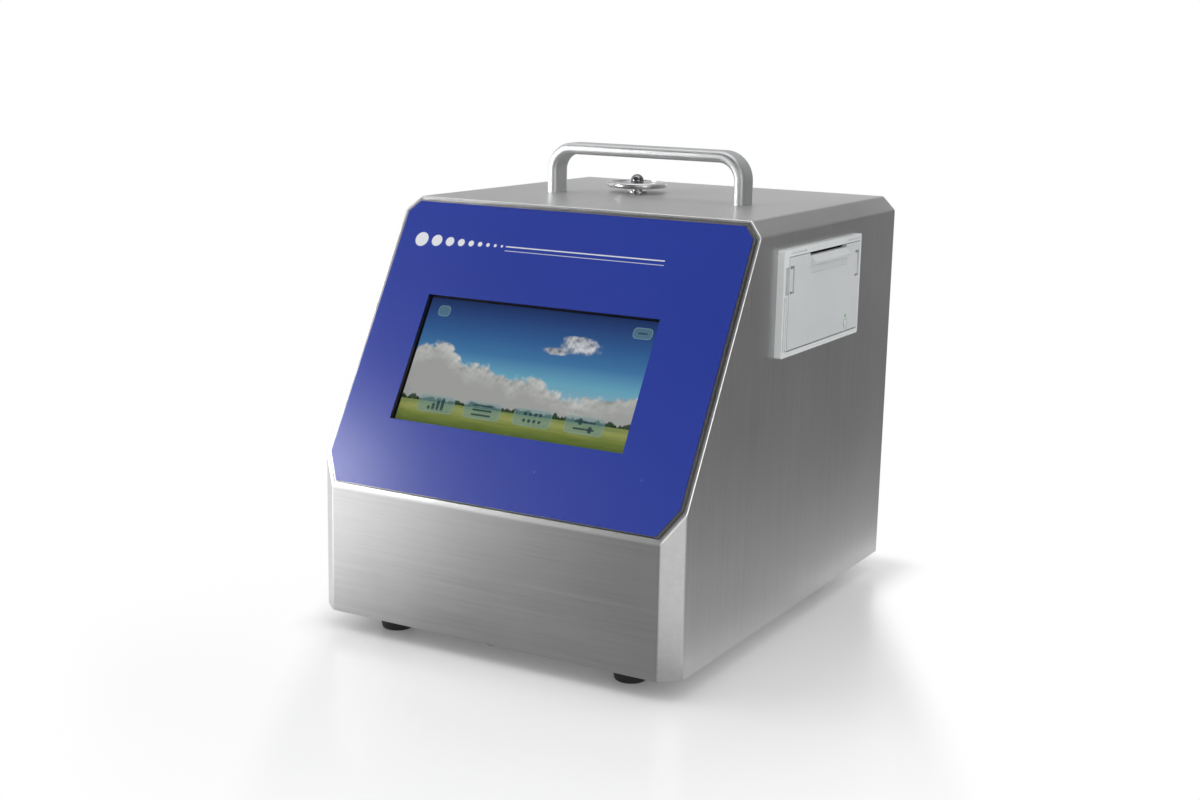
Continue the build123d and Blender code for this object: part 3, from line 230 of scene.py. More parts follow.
clouds = put(brushed, "TexNoise", where["Object"], None, 9.0, 3.0, 0.55).outputs[0]
scratched = put(brushed, "Bump", takes["Depth"], 0.0002, named={"Height": streaks}).outputs[0]
brushed.links.new(streaks, gives["Streaks"])
brushed.links.new(clouds, gives["Clouds"])
brushed.links.new(scratched, gives["Normal"])
print("brushed grain:", len(brushed.nodes), "nodes")


# %% [markdown]
# ## Moulded and cast surfaces
#
# Plastic, rubber and blasted metal have no direction. Their surface is a fine pebbled skin
# with slow differences in gloss where hands and tools have been. Real pebbles would take
# millions of faces, so two noises of different size do it: the small one for bump, the large
# one as a mask for colour and roughness.

# %% Pebbled skin group
pebbled, takes, gives = new_group(
    "pebbled skin",
    [("Grain scale", "Float", 1800.0), ("Depth", "Float", 0.15), ("Patch scale", "Float", 18.0)],
    [("Grain", "Float"), ("Patches", "Float"), ("Normal", "Vector")])
where = put(pebbled, "TexCoord").outputs["Object"]
grain = put(pebbled, "TexNoise", where, None, takes["Grain scale"], 2.0, 0.5).outputs[0]
patches = put(pebbled, "TexNoise", where, None, takes["Patch scale"], 4.0, 0.6).outputs[0]
skin = put(pebbled, "Bump", takes["Depth"], 0.0002, named={"Height": grain}).outputs[0]
pebbled.links.new(grain, gives["Grain"])
pebbled.links.new(patches, gives["Patches"])
pebbled.links.new(skin, gives["Normal"])
print("pebbled skin:", len(pebbled.nodes), "nodes")


# %% [markdown]
# ## Metals
#
# The casing sheet is brushed. A plain metal with one roughness would look like a mirror that
# is out of focus, so the roughness follows the scratches, and the shader is a little
# anisotropic: its highlights spread square to the grain, as they do on real brushed sheet.

# %% Brushed metal
def across_grain(tree):
    """Direction square to the scratches in the face: highlights on brushed metal spread that way."""
    facing = put(tree, "NewGeometry").outputs["Normal"]
    on_side = math_node(tree, "GREATER_THAN",
                        math_node(tree, "ABSOLUTE", put(tree, "SeparateXYZ", facing).outputs[0]), SIDE_FACE)
    grain = put(tree, "Mix", on_side, None, None, None, (1, 0, 0), (0, 0, 1), data_type="VECTOR").outputs[1]
    return vector_node(tree, "CROSS_PRODUCT", facing, grain)


def brushed_metal(name, dark, light, rough, scale=2600.0, depth=0.3, anisotropic=0.6):
    """Brushed sheet between two tones; rough is about the middle of its roughness."""
    material, tree, shader = new_material(name, light, Metallic=1.0, Anisotropic=anisotropic)
    grain = place_group(tree, brushed, Fine_scale=scale, Depth=depth)
    base = tint(tree, grain["Streaks"], dark, light)
    cloud = spread(tree, grain["Clouds"], 0.92, 1.04)
    base = mix_colour(tree, 1.0, base, put(tree, "CombineColor", cloud, cloud, cloud).outputs[0],
                      "MULTIPLY")
    blur = math_node(tree, "ADD", spread(tree, grain["Streaks"], rough - 0.05, rough + 0.06),
                     spread(tree, grain["Clouds"], -0.02, 0.02))
    feed(tree, shader, Base_Color=base, Roughness=blur, Normal=grain["Normal"], Tangent=across_grain(tree))
    return material


dress(brushed_metal("plain sheet", (0.42, 0.42, 0.43), (0.50, 0.50, 0.51), 0.4, 900.0, 0.15),
      "display_bracket", "sensor_bracket", "battery_strap", "power_supply")


# %% [markdown]
# ## The casing and its painted rim highlight
#
# The casing shell, the base and the rear panel are one brushed stainless finish. The rounded
# rim of the slanted opening gets a painted highlight, a pale colour laid over the sheet. A mask
# drawn in an image would do it, but the rim is simply what lies nearest to the plane of the
# overlay, so the mask is the height of a point out of the slope.

# %% Casing sheet
OVERLAY_ABOVE_RIM = 0.0014
RIM_ROUND = 0.0010
rim_plane = overlay_middle.dot(out_slope) - OVERLAY_ABOVE_RIM
sheet = brushed_metal("stainless sheet", (0.51, 0.51, 0.51), (0.622, 0.622, 0.622), 0.33)
tree = sheet.node_tree
outward = vector_node(tree, "DOT_PRODUCT", put(tree, "TexCoord").outputs["Object"], tuple(out_slope), out=1)
over_rim = math_node(tree, "SUBTRACT", outward, rim_plane)
painted_rim_highlight = put(tree, "MapRange", over_rim, -RIM_ROUND, -0.4 * RIM_ROUND, 0.0, 1.0).outputs[0]
# Painted highlight: a pale colour laid over the sheet along the rounded rim.
overprint(sheet, painted_rim_highlight, (0.90, 0.90, 0.90))
dress(sheet, "casing_shell", "base_plate", "rear_panel")
print("rim plane lies", round(rim_plane * 1000, 1), "mm out along the slope")


# %% [markdown]
# ## Blasted, turned and black metals
#
# The handle is blasted and anodised, so it is pale and has no direction. The inlet is turned
# and polished, and screws and wire are plated. All use the pebbled skin with their own values:
# a very fine grain keeps even the brightest of them from looking like glass.

# %% Pebbled metals
def pebbled_metal(name, dark, light, rough, scale=1800.0, depth=0.12):
    """Metal without a grain, between two tones."""
    material, tree, shader = new_material(name, light, Metallic=1.0)
    skin = place_group(tree, pebbled, Grain_scale=scale, Depth=depth)
    feed(tree, shader, Base_Color=tint(tree, skin["Patches"], dark, light),
         Roughness=spread(tree, skin["Patches"], rough - 0.04, rough + 0.06), Normal=skin["Normal"])
    return material


dress(pebbled_metal("anodised handle", (0.635, 0.645, 0.65), (0.665, 0.675, 0.68), 0.46, 2600.0, 0.004),
      "carry_handle")
dress(pebbled_metal("machined aluminium", (0.62, 0.63, 0.64), (0.72, 0.73, 0.74), 0.3), "thermal_head",
      "detector_unit")
dress(pebbled_metal("turned nozzle", (0.52, 0.52, 0.525), (0.60, 0.60, 0.605), 0.22, 2600.0, 0.03),
      "inlet_nozzle")
dress(pebbled_metal("plated screws", (0.52, 0.52, 0.53), (0.62, 0.62, 0.63), 0.24, 2200.0, 0.05),
      "case_screws", "display_screws", "fan_screws", "handle_screws", "panel_nuts", "board_standoffs",
      "inlet_nut", "serial_port")
dress(pebbled_metal("chromed wire", (0.48, 0.48, 0.49), (0.58, 0.58, 0.59), 0.2, 2200.0, 0.04), "fan_guard",
      "platen_shaft")
dress(pebbled_metal("black anodised", (0.03, 0.03, 0.035), (0.06, 0.06, 0.065), 0.4), "optical_chamber",
      "laser_module", "blower_motor")


# %% [markdown]
# ## The dust cap
#
# The cap is turned from one bar. The dish keeps the fine rings of the cutting tool, which
# make its sheen satin. The little knob on top is polished, and its colour is painted dark as a
# painted reflection of dark surroundings. The rings are too fine to model, so they are a wave
# of the distance from the cap's own axis that changes the roughness.

# %% Turned dust cap
RING_WAVES = 9000.0
KNOB_RADIUS, KNOB_HEIGHT = 0.0052, 0.0055
cap_axis = middle_of("inlet_cap")
cap_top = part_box("inlet_cap")[1][2]
cap, tree, shader = new_material("turned dust cap", (0.62, 0.62, 0.625), Metallic=1.0)
skin = place_group(tree, pebbled, Grain_scale=2600.0, Depth=0.03)
from_axis = vector_node(tree, "SUBTRACT", put(tree, "TexCoord").outputs["Object"], tuple(cap_axis))
apart = put(tree, "SeparateXYZ", from_axis).outputs
radius = math_node(tree, "SQRT", math_node(tree, "ADD", math_node(tree, "MULTIPLY", apart[0], apart[0]),
                                           math_node(tree, "MULTIPLY", apart[1], apart[1])))
rings = math_node(tree, "SINE", math_node(tree, "MULTIPLY", radius, RING_WAVES))
on_knob = math_node(tree, "MULTIPLY", math_node(tree, "LESS_THAN", radius, KNOB_RADIUS),
                    math_node(tree, "GREATER_THAN", apart[2], cap_top - cap_axis.z - KNOB_HEIGHT))
satin = tint(tree, skin["Patches"], (0.70, 0.70, 0.705), (0.78, 0.78, 0.785))
ringed = put(tree, "MapRange", rings, -1.0, 1.0, 0.24, 0.32).outputs[0]
# The knob's dark colour is a painted dark reflection; its lower roughness is real polish.
feed(tree, shader, Base_Color=mix_colour(tree, on_knob, satin, (0.24, 0.24, 0.25, 1)),
     Roughness=put(tree, "Mix", on_knob, None, ringed, 0.12).outputs[0], Normal=skin["Normal"])
dress(cap, "inlet_cap")


# %% [markdown]
# ## Plastics, rubber and small parts
#
# The printer is a light grey moulding. Black fittings, rubber feet, the milky hoses and the
# boards could each have a material of their own making, but what differs is only colour, gloss
# and grain, so each is one call of the same recipe with its own values.

# %% Mouldings
def moulded(name, dark, light, rough, scale=1800.0, depth=0.15, **values):
    """Plastic, rubber or paper between two tones; further values go to the shader."""
    material, tree, shader = new_material(name, light, **values)
    skin = place_group(tree, pebbled, Grain_scale=scale, Depth=depth)
    feed(tree, shader, Base_Color=tint(tree, skin["Patches"], dark, light),
         Roughness=spread(tree, skin["Patches"], rough - 0.05, rough + 0.07), Normal=skin["Normal"])
    return material


dress(moulded("printer bezel grey", (0.70, 0.725, 0.725), (0.76, 0.785, 0.785), 0.42), "printer_housing")
dress(moulded("printer door grey", (0.60, 0.62, 0.63), (0.66, 0.68, 0.69), 0.38), "printer_door",
      "door_latch", "feed_button")
dress(moulded("black moulding", (0.018, 0.018, 0.02), (0.035, 0.035, 0.037), 0.45), "blower_volute",
      "blower_cover", "fan_frame", "fan_rotor", "power_inlet", "fuse_drawer", "switch_housing",
      "feed_motor")
dress(moulded("white moulding", (0.66, 0.66, 0.64), (0.74, 0.74, 0.72), 0.4), "blower_impeller",
      "exhaust_filter", "exhaust_nut")
dress(moulded("black rubber", (0.012, 0.012, 0.012), (0.028, 0.028, 0.027), 0.62, 1200.0, 0.3),
      "inlet_seal", "blower_mounts", "platen_roller", "foot_front_left", "foot_front_right",
      "foot_rear_left", "foot_rear_right")
dress(moulded("milky hose", (0.55, 0.57, 0.55), (0.66, 0.68, 0.66), 0.3, Subsurface_Weight=0.3),
      "sample_tube", "outlet_tube", "exhaust_sleeve")
dress(moulded("thermal paper", (0.78, 0.78, 0.76), (0.86, 0.86, 0.84), 0.55, 900.0, 0.1), "paper_roll")
dress(moulded("shrink film", (0.015, 0.06, 0.26), (0.03, 0.09, 0.34), 0.25), "battery_pack")
dress(moulded("green board", (0.01, 0.10, 0.045), (0.02, 0.17, 0.07), 0.3), "main_board", "display_board")
dress(moulded("green lens", (0.03, 0.35, 0.05), (0.06, 0.5, 0.08), 0.2, Coat_Weight=0.5), "status_led")


# %% [markdown]
# ## Printed shapes
#
# The overlay and the screen both carry simple flat shapes: dots, bars and keys. All are
# rounded rectangles of some proportion, so one group draws them from a centre, half sizes
# and a corner radius. A corner as large as the half size makes a dot.

# %% Round-cornered plate group
EDGE_SOFT = 0.00015
BORDER_IN, BORDER_OUT = -0.0006, -0.0003
plate, takes, gives = new_group(
    "round-cornered plate",
    [("Across", "Float", 0.0), ("Up", "Float", 0.0), ("Centre across", "Float", 0.5),
     ("Centre up", "Float", 0.5), ("Half width", "Float", 0.01), ("Half height", "Float", 0.005),
     ("Corner", "Float", 0.002)],
    [("Inside", "Float"), ("Border", "Float")])
overshoot = []
for place, centre, half in (("Across", "Centre across", "Half width"), ("Up", "Centre up", "Half height")):
    away = math_node(plate, "ABSOLUTE", math_node(plate, "SUBTRACT", takes[place], takes[centre]))
    away = math_node(plate, "SUBTRACT", away, math_node(plate, "SUBTRACT", takes[half], takes["Corner"]))
    away = math_node(plate, "MAXIMUM", away, 0.0)
    overshoot.append(math_node(plate, "MULTIPLY", away, away))
edge = math_node(plate, "SUBTRACT", math_node(plate, "SQRT", math_node(plate, "ADD", *overshoot)),
                 takes["Corner"])
inside = put(plate, "MapRange", edge, -EDGE_SOFT, EDGE_SOFT, 1.0, 0.0).outputs[0]
core = put(plate, "MapRange", edge, BORDER_IN, BORDER_OUT, 1.0, 0.0).outputs[0]
plate.links.new(inside, gives["Inside"])
plate.links.new(math_node(plate, "SUBTRACT", inside, core), gives["Border"])
print("round-cornered plate:", len(plate.nodes), "nodes")


# %% [markdown]
# ## The marks on the rocker
#
# A mains rocker has a bar on the end that switches on and a ring on the other. They could be
# raised letters, but they are printed flat, so they are two shapes of the plate group laid
# over the black moulding.

# %% Rocker marks
MARK_HALF, BAR_HALF = 0.0019, 0.00035
rocker_middle = middle_of("power_rocker")
rocker_size = size_of("power_rocker")
rocker = moulded("black rocker", (0.018, 0.018, 0.02), (0.035, 0.035, 0.037), 0.4)
tree = rocker.node_tree
mark_out = rocker_size.x * 0.27
apart = put(tree, "SeparateXYZ", vector_node(tree, "SUBTRACT", put(tree, "TexCoord").outputs["Object"],
                                             tuple(rocker_middle))).outputs
ring = place_group(tree, plate, Across=apart[0], Up=apart[2], Centre_across=mark_out, Centre_up=0.0,
                   Half_width=MARK_HALF, Half_height=MARK_HALF, Corner=MARK_HALF)
bar = place_group(tree, plate, Across=apart[0], Up=apart[2], Centre_across=-mark_out, Centre_up=0.0,
                  Half_width=BAR_HALF, Half_height=MARK_HALF, Corner=BAR_HALF)
overprint(rocker, math_node(tree, "MAXIMUM", ring["Border"], bar["Inside"]), (0.75, 0.75, 0.74))
dress(rocker, "power_rocker")
print("rocker measures", tuple(round(c * 1000, 1) for c in rocker_size), "mm")


# %% [markdown]
# ## The slanted panel plate
#
# Only the cut edges of this plate show. The outer edge is darkened as painted shade of the gap
# round the overlay. The edge of the window carries a black band of painted shade for the recess,
# so the picture sits in a black frame. The band could be a thin mesh of its own, but it lies
# flat on the plate, so it is a mark of the plate group.

# %% Panel plate
WINDOW_W, WINDOW_H = 0.156, 0.0793
WINDOW_SHADE_WIDTH = 0.004


def on_slope(tree, start):
    """Distances from a point of the slanted panel, across it and up the slope."""
    spot = put(tree, "TexCoord").outputs["Object"]
    sideways = math_node(tree, "SUBTRACT", put(tree, "SeparateXYZ", spot).outputs[0], start.x)
    climb = vector_node(tree, "DOT_PRODUCT", spot, tuple(up_slope), out=1)
    return sideways, math_node(tree, "SUBTRACT", climb, start.dot(up_slope))


# The dark tone of the plate edge is painted shade of the gap round the overlay.
plate_metal = brushed_metal("panel plate edge", (0.30, 0.30, 0.30), (0.38, 0.38, 0.38), 0.36)
tree = plate_metal.node_tree
window_x, window_v = on_slope(tree, display_middle)
# A black band round the window is painted shade of the recess walls.
painted_window_shade = place_group(tree, plate, Across=window_x, Up=window_v, Centre_across=0.0, Centre_up=0.0,
                     Half_width=WINDOW_W / 2 + WINDOW_SHADE_WIDTH, Half_height=WINDOW_H / 2 + WINDOW_SHADE_WIDTH,
                     Corner=0.003)["Inside"]
overprint(plate_metal, painted_window_shade, (0.006, 0.006, 0.007))
feed(tree, tree.nodes["Principled BSDF"], Metallic=math_node(tree, "SUBTRACT", 1.0, painted_window_shade))
dress(plate_metal, "front_panel_plate")


# %% [markdown]
# ## The blue overlay
#
# The overlay is a polyester film printed from behind, so its colour is even and deep and its
# face has a slight matt skin that turns a lamp into a pale haze. Its print is a plain motif: a
# row of particles that shrink towards two fine white rules. Separate little meshes would stand
# proud of the film, so the motif is drawn in its material. Each shape is its place across and
# up from the middle of the film, with its half sizes.

# %% Print of the overlay
MOTIF_UP = 0.0655
FIRST_DOT, FIRST_RADIUS, LAST_RADIUS = -0.1000, 0.0046, 0.0007
PRINT = []
at, radius = FIRST_DOT, FIRST_RADIUS
while radius > LAST_RADIUS:
    PRINT.append((at, MOTIF_UP, radius, radius))
    at += radius * 1.76 + 0.0030
    radius *= 0.80
PRINT += [(0.0135, MOTIF_UP, 0.0530, 0.00035), (0.0135, MOTIF_UP - 0.0027, 0.0530, 0.00016)]
print("printed shapes:", len(PRINT))


# %% Blue film
film, tree, shader = new_material("blue film", (0.0175, 0.042, 0.34))
skin = place_group(tree, pebbled, Grain_scale=2600.0, Depth=0.05, Patch_scale=7.0)
ground = tint(tree, skin["Patches"], (0.0145, 0.037, 0.300), (0.0165, 0.041, 0.325))
print_x, print_v = on_slope(tree, overlay_middle)
for x, v, half_w, half_v in PRINT:
    mark = place_group(tree, plate, Across=print_x, Up=print_v, Centre_across=x, Centre_up=v,
                       Half_width=half_w, Half_height=half_v, Corner=min(half_w, half_v))
    ground = mix_colour(tree, mark["Inside"], ground, (0.72, 0.74, 0.76, 1))
feed(tree, shader, Base_Color=ground,
     Roughness=spread(tree, skin["Patches"], 0.264, 0.276), Normal=skin["Normal"])
dress(film, "panel_overlay")


# %% [markdown]
# ## The screen picture
#
# The display shows a start page: a sky over a meadow with four round-cornered keys. It could
# be an image, but a drawn picture stays sharp at any size and needs no file. It is made by the
# shader of the display itself. Two numbers place it, across and up the window, both from 0 to
# 1, so every part of the picture is a simple threshold on them.

# %% Picture coordinates
picture, tree, shader = new_material("screen picture", (0.006, 0.006, 0.007), Roughness=0.4,
                                     Specular_IOR_Level=0.0, Emission_Strength=1.0)
window_corner = display_middle - Vector((WINDOW_W / 2, 0, 0)) - up_slope * WINDOW_H / 2
across_m, up_m = on_slope(tree, window_corner)
across = math_node(tree, "DIVIDE", across_m, WINDOW_W)
upward = math_node(tree, "DIVIDE", up_m, WINDOW_H)
print("picture of", WINDOW_W * 1000, "by", WINDOW_H * 1000, "mm")


# %% Sky
def ramp(tree, value, stops):
    """Colour by a value; stops are (place, colour), in rising order."""
    made = put(tree, "ValToRGB", value)
    made.color_ramp.elements[0].position = stops[0][0]
    made.color_ramp.elements[0].color = (*stops[0][1], 1)
    made.color_ramp.elements[1].position = stops[-1][0]
    made.color_ramp.elements[1].color = (*stops[-1][1], 1)
    for place, colour in stops[1:-1]:
        made.color_ramp.elements.new(place).color = (*colour, 1)
    return made.outputs[0]


sky = ramp(tree, upward,
           [(0.20, (0.30, 0.42, 0.46)), (0.45, (0.13, 0.34, 0.46)), (0.60, (0.05, 0.165, 0.34)),
            (0.75, (0.030, 0.10, 0.26)), (0.90, (0.020, 0.052, 0.175)), (1.0, (0.012, 0.028, 0.10))])
print("sky done")


# %% [markdown]
# ### Clouds
#
# A cloud is a soft border that noise breaks up into billows. The same noise is read twice, the
# second time a little lower. Where it rises between the two the cloud is pale, and where it
# falls it is grey, which gives relief without any real depth.

# %% Billows
flat = put(tree, "CombineXYZ", math_node(tree, "MULTIPLY", across, 2.0), upward).outputs[0]
billow = put(tree, "TexNoise", flat, None, 5.0, 7.0, 0.62).outputs[0]
lit = put(tree, "TexNoise", vector_node(tree, "ADD", flat, (0.012, -0.028, 0)), None, 5.0, 7.0,
          0.62).outputs[0]
relief = math_node(tree, "MULTIPLY", math_node(tree, "SUBTRACT", billow, lit), 3.5)
rough_edge = math_node(tree, "SUBTRACT", billow, 0.5)


def cloud(middle_x, middle_v, half_x, half_v, raggedness):
    """A mask for one cloud: an ellipse whose border the noise breaks up."""
    dx = math_node(tree, "DIVIDE", math_node(tree, "SUBTRACT", across, middle_x), half_x)
    dv = math_node(tree, "DIVIDE", math_node(tree, "SUBTRACT", upward, middle_v), half_v)
    out = math_node(tree, "ADD", math_node(tree, "MULTIPLY", dx, dx), math_node(tree, "MULTIPLY", dv, dv))
    full = math_node(tree, "ADD", math_node(tree, "SUBTRACT", 1.0, out),
                     math_node(tree, "MULTIPLY", rough_edge, raggedness))
    return put(tree, "MapRange", full, 0.0, 0.8, 0.0, 1.0, interpolation_type="SMOOTHSTEP").outputs[0]


print("billows and cloud helper ready")


# %% [markdown]
# ### The bank of clouds and a small cloud
#
# The bank rises to the left and ends in a ragged skyline. A curve over the width gives its
# height, because a curve is easy to bend until it looks right. The small cloud above it is a
# few overlapping ellipses.

# %% Bank of clouds
SKYLINE = ((0.07, 0.65), (0.14, 0.63), (0.22, 0.55), (0.34, 0.51), (0.46, 0.47), (0.56, 0.46), (0.66, 0.40),
           (0.80, 0.38), (0.90, 0.40))
skyline = put(tree, "FloatCurve", 1.0, across)
line = skyline.mapping.curves[0]
line.points[0].location, line.points[1].location = (0.0, 0.58), (1.0, 0.44)
for bend in SKYLINE:
    line.points.new(*bend)
skyline.mapping.update()
below = math_node(tree, "SUBTRACT", math_node(tree, "ADD", skyline.outputs[0],
                                              math_node(tree, "MULTIPLY", rough_edge, 0.30)), upward)
bank = put(tree, "MapRange", below, 0.0, 0.035, 0.0, 1.0).outputs[0]
lumps = put(tree, "MapRange", below, 0.01, 0.17, 1.0, 0.0).outputs[0]
soft_relief = math_node(tree, "MULTIPLY", relief, 0.5)
shade = math_node(tree, "ADD",
                  math_node(tree, "MULTIPLY", lumps, math_node(tree, "ADD", soft_relief, 0.14)), 0.37)
shade = put(tree, "MapRange", shade, 0.1, 0.9, 0.1, 0.80).outputs[0]
print("bank of clouds with", len(line.points), "bends")


# %% Small cloud
puffs = cloud(0.70, 0.74, 0.10, 0.085, 2.8)
for middle_x, middle_v, half_x, half_v in ((0.61, 0.69, 0.085, 0.035), (0.675, 0.79, 0.06, 0.035)):
    puffs = math_node(tree, "MAXIMUM", puffs, cloud(middle_x, middle_v, half_x, half_v, 2.6))
puff_shade = math_node(tree, "ADD", math_node(tree, "MULTIPLY", relief, 0.7), 0.46)
sky = mix_colour(tree, math_node(tree, "MULTIPLY", puffs, 0.85), sky,
                 put(tree, "CombineColor", puff_shade, puff_shade, puff_shade).outputs[0])
cloud_colour = put(tree, "CombineColor", shade, shade, math_node(tree, "MULTIPLY", shade, 0.96)).outputs[0]
scene_colour = mix_colour(tree, bank, sky, cloud_colour)
print("small cloud and bank laid over the sky")


# %% [markdown]
# ### Meadow and trees
#
# Grass is noise that is stretched sideways, so that it lies in low bands, and its colour runs
# from a sunny strip to a dark foreground. Trees are a low ragged line of crowns on the horizon.

# %% Meadow
HORIZON = 0.185
bands = put(tree, "CombineXYZ", math_node(tree, "MULTIPLY", across, 7.0),
            math_node(tree, "MULTIPLY", upward, 60.0)).outputs[0]
grass = put(tree, "TexNoise", bands, None, 1.0, 4.0, 0.6).outputs[0]
ripple = math_node(tree, "MULTIPLY", math_node(tree, "SUBTRACT", grass, 0.5), 0.12)
meadow = ramp(tree, math_node(tree, "ADD", upward, ripple),
              [(0.0, (0.06, 0.095, 0.022)), (0.08, (0.15, 0.19, 0.04)), (0.14, (0.28, 0.30, 0.09)),
               (0.2, (0.13, 0.19, 0.06))])
on_grass = put(tree, "MapRange", upward, HORIZON, 0.2, 1.0, 0.0).outputs[0]
scene_colour = mix_colour(tree, on_grass, scene_colour, meadow)
print("meadow done")


# %% Trees
crowns = put(tree, "TexNoise",
             put(tree, "CombineXYZ", math_node(tree, "MULTIPLY", across, 26.0), 3.0).outputs[0],
             None, 1.0, 4.0, 0.65).outputs[0]
tops = math_node(tree, "ADD", math_node(tree, "MULTIPLY", crowns, 0.16), 0.135)
under_tops = put(tree, "MapRange", math_node(tree, "SUBTRACT", tops, upward), 0.0, 0.01, 0.0,
                 1.0).outputs[0]
trees = math_node(tree, "MULTIPLY", under_tops, math_node(tree, "GREATER_THAN", upward, HORIZON))
scene_colour = mix_colour(tree, trees, scene_colour, (0.015, 0.035, 0.01, 1))
print("trees done")


# %% [markdown]
# ### Keys
#
# The keys are see-through plates with a paler border. Words would need a font, and plain signs
# read as well: rising bars, lines, dots and two sliders. All places and half sizes are in
# metres from the lower left corner of the window.

# %% Keys on the screen
KEYS = [(x, 0.0135, 0.0125, 0.0052) for x in (0.026, 0.058, 0.092, 0.126)]
KEYS += [(0.146, 0.071, 0.0062, 0.0034), (0.012, 0.071, 0.0042, 0.0034)]
BARS = [(0.0215 + 0.0030 * i, 0.0110 + 0.0009 * i, 0.0010, 0.0011 + 0.0009 * i) for i in range(4)]
LINES = [(0.058, 0.0164 - 0.0029 * i, 0.0066, 0.0006) for i in range(3)]
DOTS = [(0.0869 + 0.0034 * i, 0.0155 - 0.0040 * j, 0.0010, 0.0010) for i in range(4) for j in range(2)]
SLIDERS = [(0.126, 0.0155, 0.0068, 0.0006), (0.123, 0.0155, 0.0012, 0.0019),
           (0.126, 0.0113, 0.0068, 0.0006), (0.130, 0.0113, 0.0012, 0.0019)]
DASH = [(0.146, 0.071, 0.0030, 0.0004)]
KEY_TONE, KEY_BORDER, SIGN_TONE = (0.13, 0.25, 0.26, 1), (0.42, 0.56, 0.55, 1), (0.012, 0.035, 0.045, 1)
for x, v, half_w, half_h in KEYS:
    key = place_group(tree, plate, Across=across_m, Up=up_m, Centre_across=x, Centre_up=v,
                      Half_width=half_w, Half_height=half_h, Corner=0.0026)
    scene_colour = mix_colour(tree, math_node(tree, "MULTIPLY", key["Inside"], 0.5), scene_colour, KEY_TONE)
    scene_colour = mix_colour(tree, math_node(tree, "MULTIPLY", key["Border"], 0.22), scene_colour,
                              KEY_BORDER)
for x, v, half_w, half_h in BARS + LINES + DOTS + SLIDERS + DASH:
    icon = place_group(tree, plate, Across=across_m, Up=up_m, Centre_across=x, Centre_up=v,
                       Half_width=half_w, Half_height=half_h, Corner=min(half_w, half_h) * 0.8)
    scene_colour = mix_colour(tree, math_node(tree, "MULTIPLY", icon["Inside"], 0.9), scene_colour,
                              SIGN_TONE)
print("keys:", len(KEYS))


# %% [markdown]
# ### The lit area
#
# A display is dark for a hair's breadth round its picture. One large plate cuts the picture
# off there, and the picture then goes to the emission of the display's material.

# %% Lit area
lit_area = place_group(tree, plate, Across=across, Up=upward, Centre_across=0.5, Centre_up=0.5,
                       Half_width=0.4935, Half_height=0.4935, Corner=0.001)["Inside"]
scene_colour = mix_colour(tree, lit_area, (0.002, 0.002, 0.003, 1), scene_colour)
feed(tree, shader, Emission_Color=scene_colour)
dress(picture, "display_module")
print("screen picture:", len(tree.nodes), "nodes")


# %% [markdown]
# ## The touch glass
#
# A thin clear sheet lies over the display. A mixed transparent shader would be quicker, but
# plain glass bends and mirrors light by itself, so the picture stays sharp and only a faint
# reflection lies over it. Finger marks are a trace of roughness in patches.

# %% Touch glass
glass, tree, shader = new_material("touch glass", (0.93, 0.96, 0.97), Roughness=0.0, IOR=1.45,
                                   Transmission_Weight=1.0)
skin = place_group(tree, pebbled, Grain_scale=900.0, Depth=0.01, Patch_scale=14.0)
feed(tree, shader, Roughness=spread(tree, skin["Patches"], 0.0, 0.012))
dress(glass, "touch_glass")


# %% [markdown]
# ## The floor
#
# A pale, slightly glossy floor fades into white, as on a light table. A plain white plane
# would show where it ends, so white light takes over with distance. Near the instrument the
# floor keeps its own shadow. The shade is longest towards the front right and the rear left,
# so distance is measured along that way and square to it. A weak sheen mirrors the casing
# close to it.

# %% Helpers for the floor
def seen_directly(tree):
    """1 for camera rays and for what mirrors and glass show, 0 for light that falls on surfaces."""
    path = put(tree, "LightPath").outputs
    mirrored = math_node(tree, "MAXIMUM", path["Is Glossy Ray"], path["Is Transmission Ray"])
    return math_node(tree, "MAXIMUM", path["Is Camera Ray"], mirrored)


def rise_past(tree, value, limit, gain):
    """Zero while the value's size stays under a limit, then a steady rise."""
    over = math_node(tree, "SUBTRACT", math_node(tree, "ABSOLUTE", value), limit)
    return math_node(tree, "MULTIPLY", math_node(tree, "MAXIMUM", over, 0.0), gain)


print("floor helpers ready")


# %% Floor
FLOOR_REACH = 4.0
floor_mesh = bpy.data.meshes.new("floor")
floor_corners = [(x * FLOOR_REACH, y * FLOOR_REACH, 0) for x, y in ((-1, -1), (1, -1), (1, 1), (-1, 1))]
floor_mesh.from_pydata(floor_corners, [], [(0, 1, 2, 3)])
floor = bpy.data.objects.new("floor", floor_mesh)
bpy.context.collection.objects.link(floor)
print("floor reaches", FLOOR_REACH, "m to each side")


# %% Shade and white light of the floor
FOOTPRINT = (0.12, 0.15, 0.0)
SHADE_WAY, SHADE_SQUARE = (0.49, -0.87, 0.0), (0.87, 0.49, 0.0)
SHADE_HALF_WIDTH, SHADE_HALF_LENGTH, SHADE_SHIFT = 0.155, 0.19, 0.012
pale, tree, shader = new_material("pale floor", (0.90, 0.90, 0.90), Roughness=0.5, Specular_IOR_Level=0.0)
spot = put(tree, "TexCoord").outputs["Object"]
beyond = vector_node(tree, "SUBTRACT", vector_node(tree, "ABSOLUTE", spot), FOOTPRINT)
beyond = vector_node(tree, "MAXIMUM", beyond, (0.0, 0.0, 0.0))
outside = put(tree, "MapRange", vector_node(tree, "LENGTH", beyond, out=1), 0.0, 0.03, 0.0, 1.0,
              interpolation_type="SMOOTHSTEP").outputs[0]
shade_across = vector_node(tree, "DOT_PRODUCT", spot, SHADE_SQUARE, out=1)
shade_along = vector_node(tree, "DOT_PRODUCT", spot, SHADE_WAY, out=1)
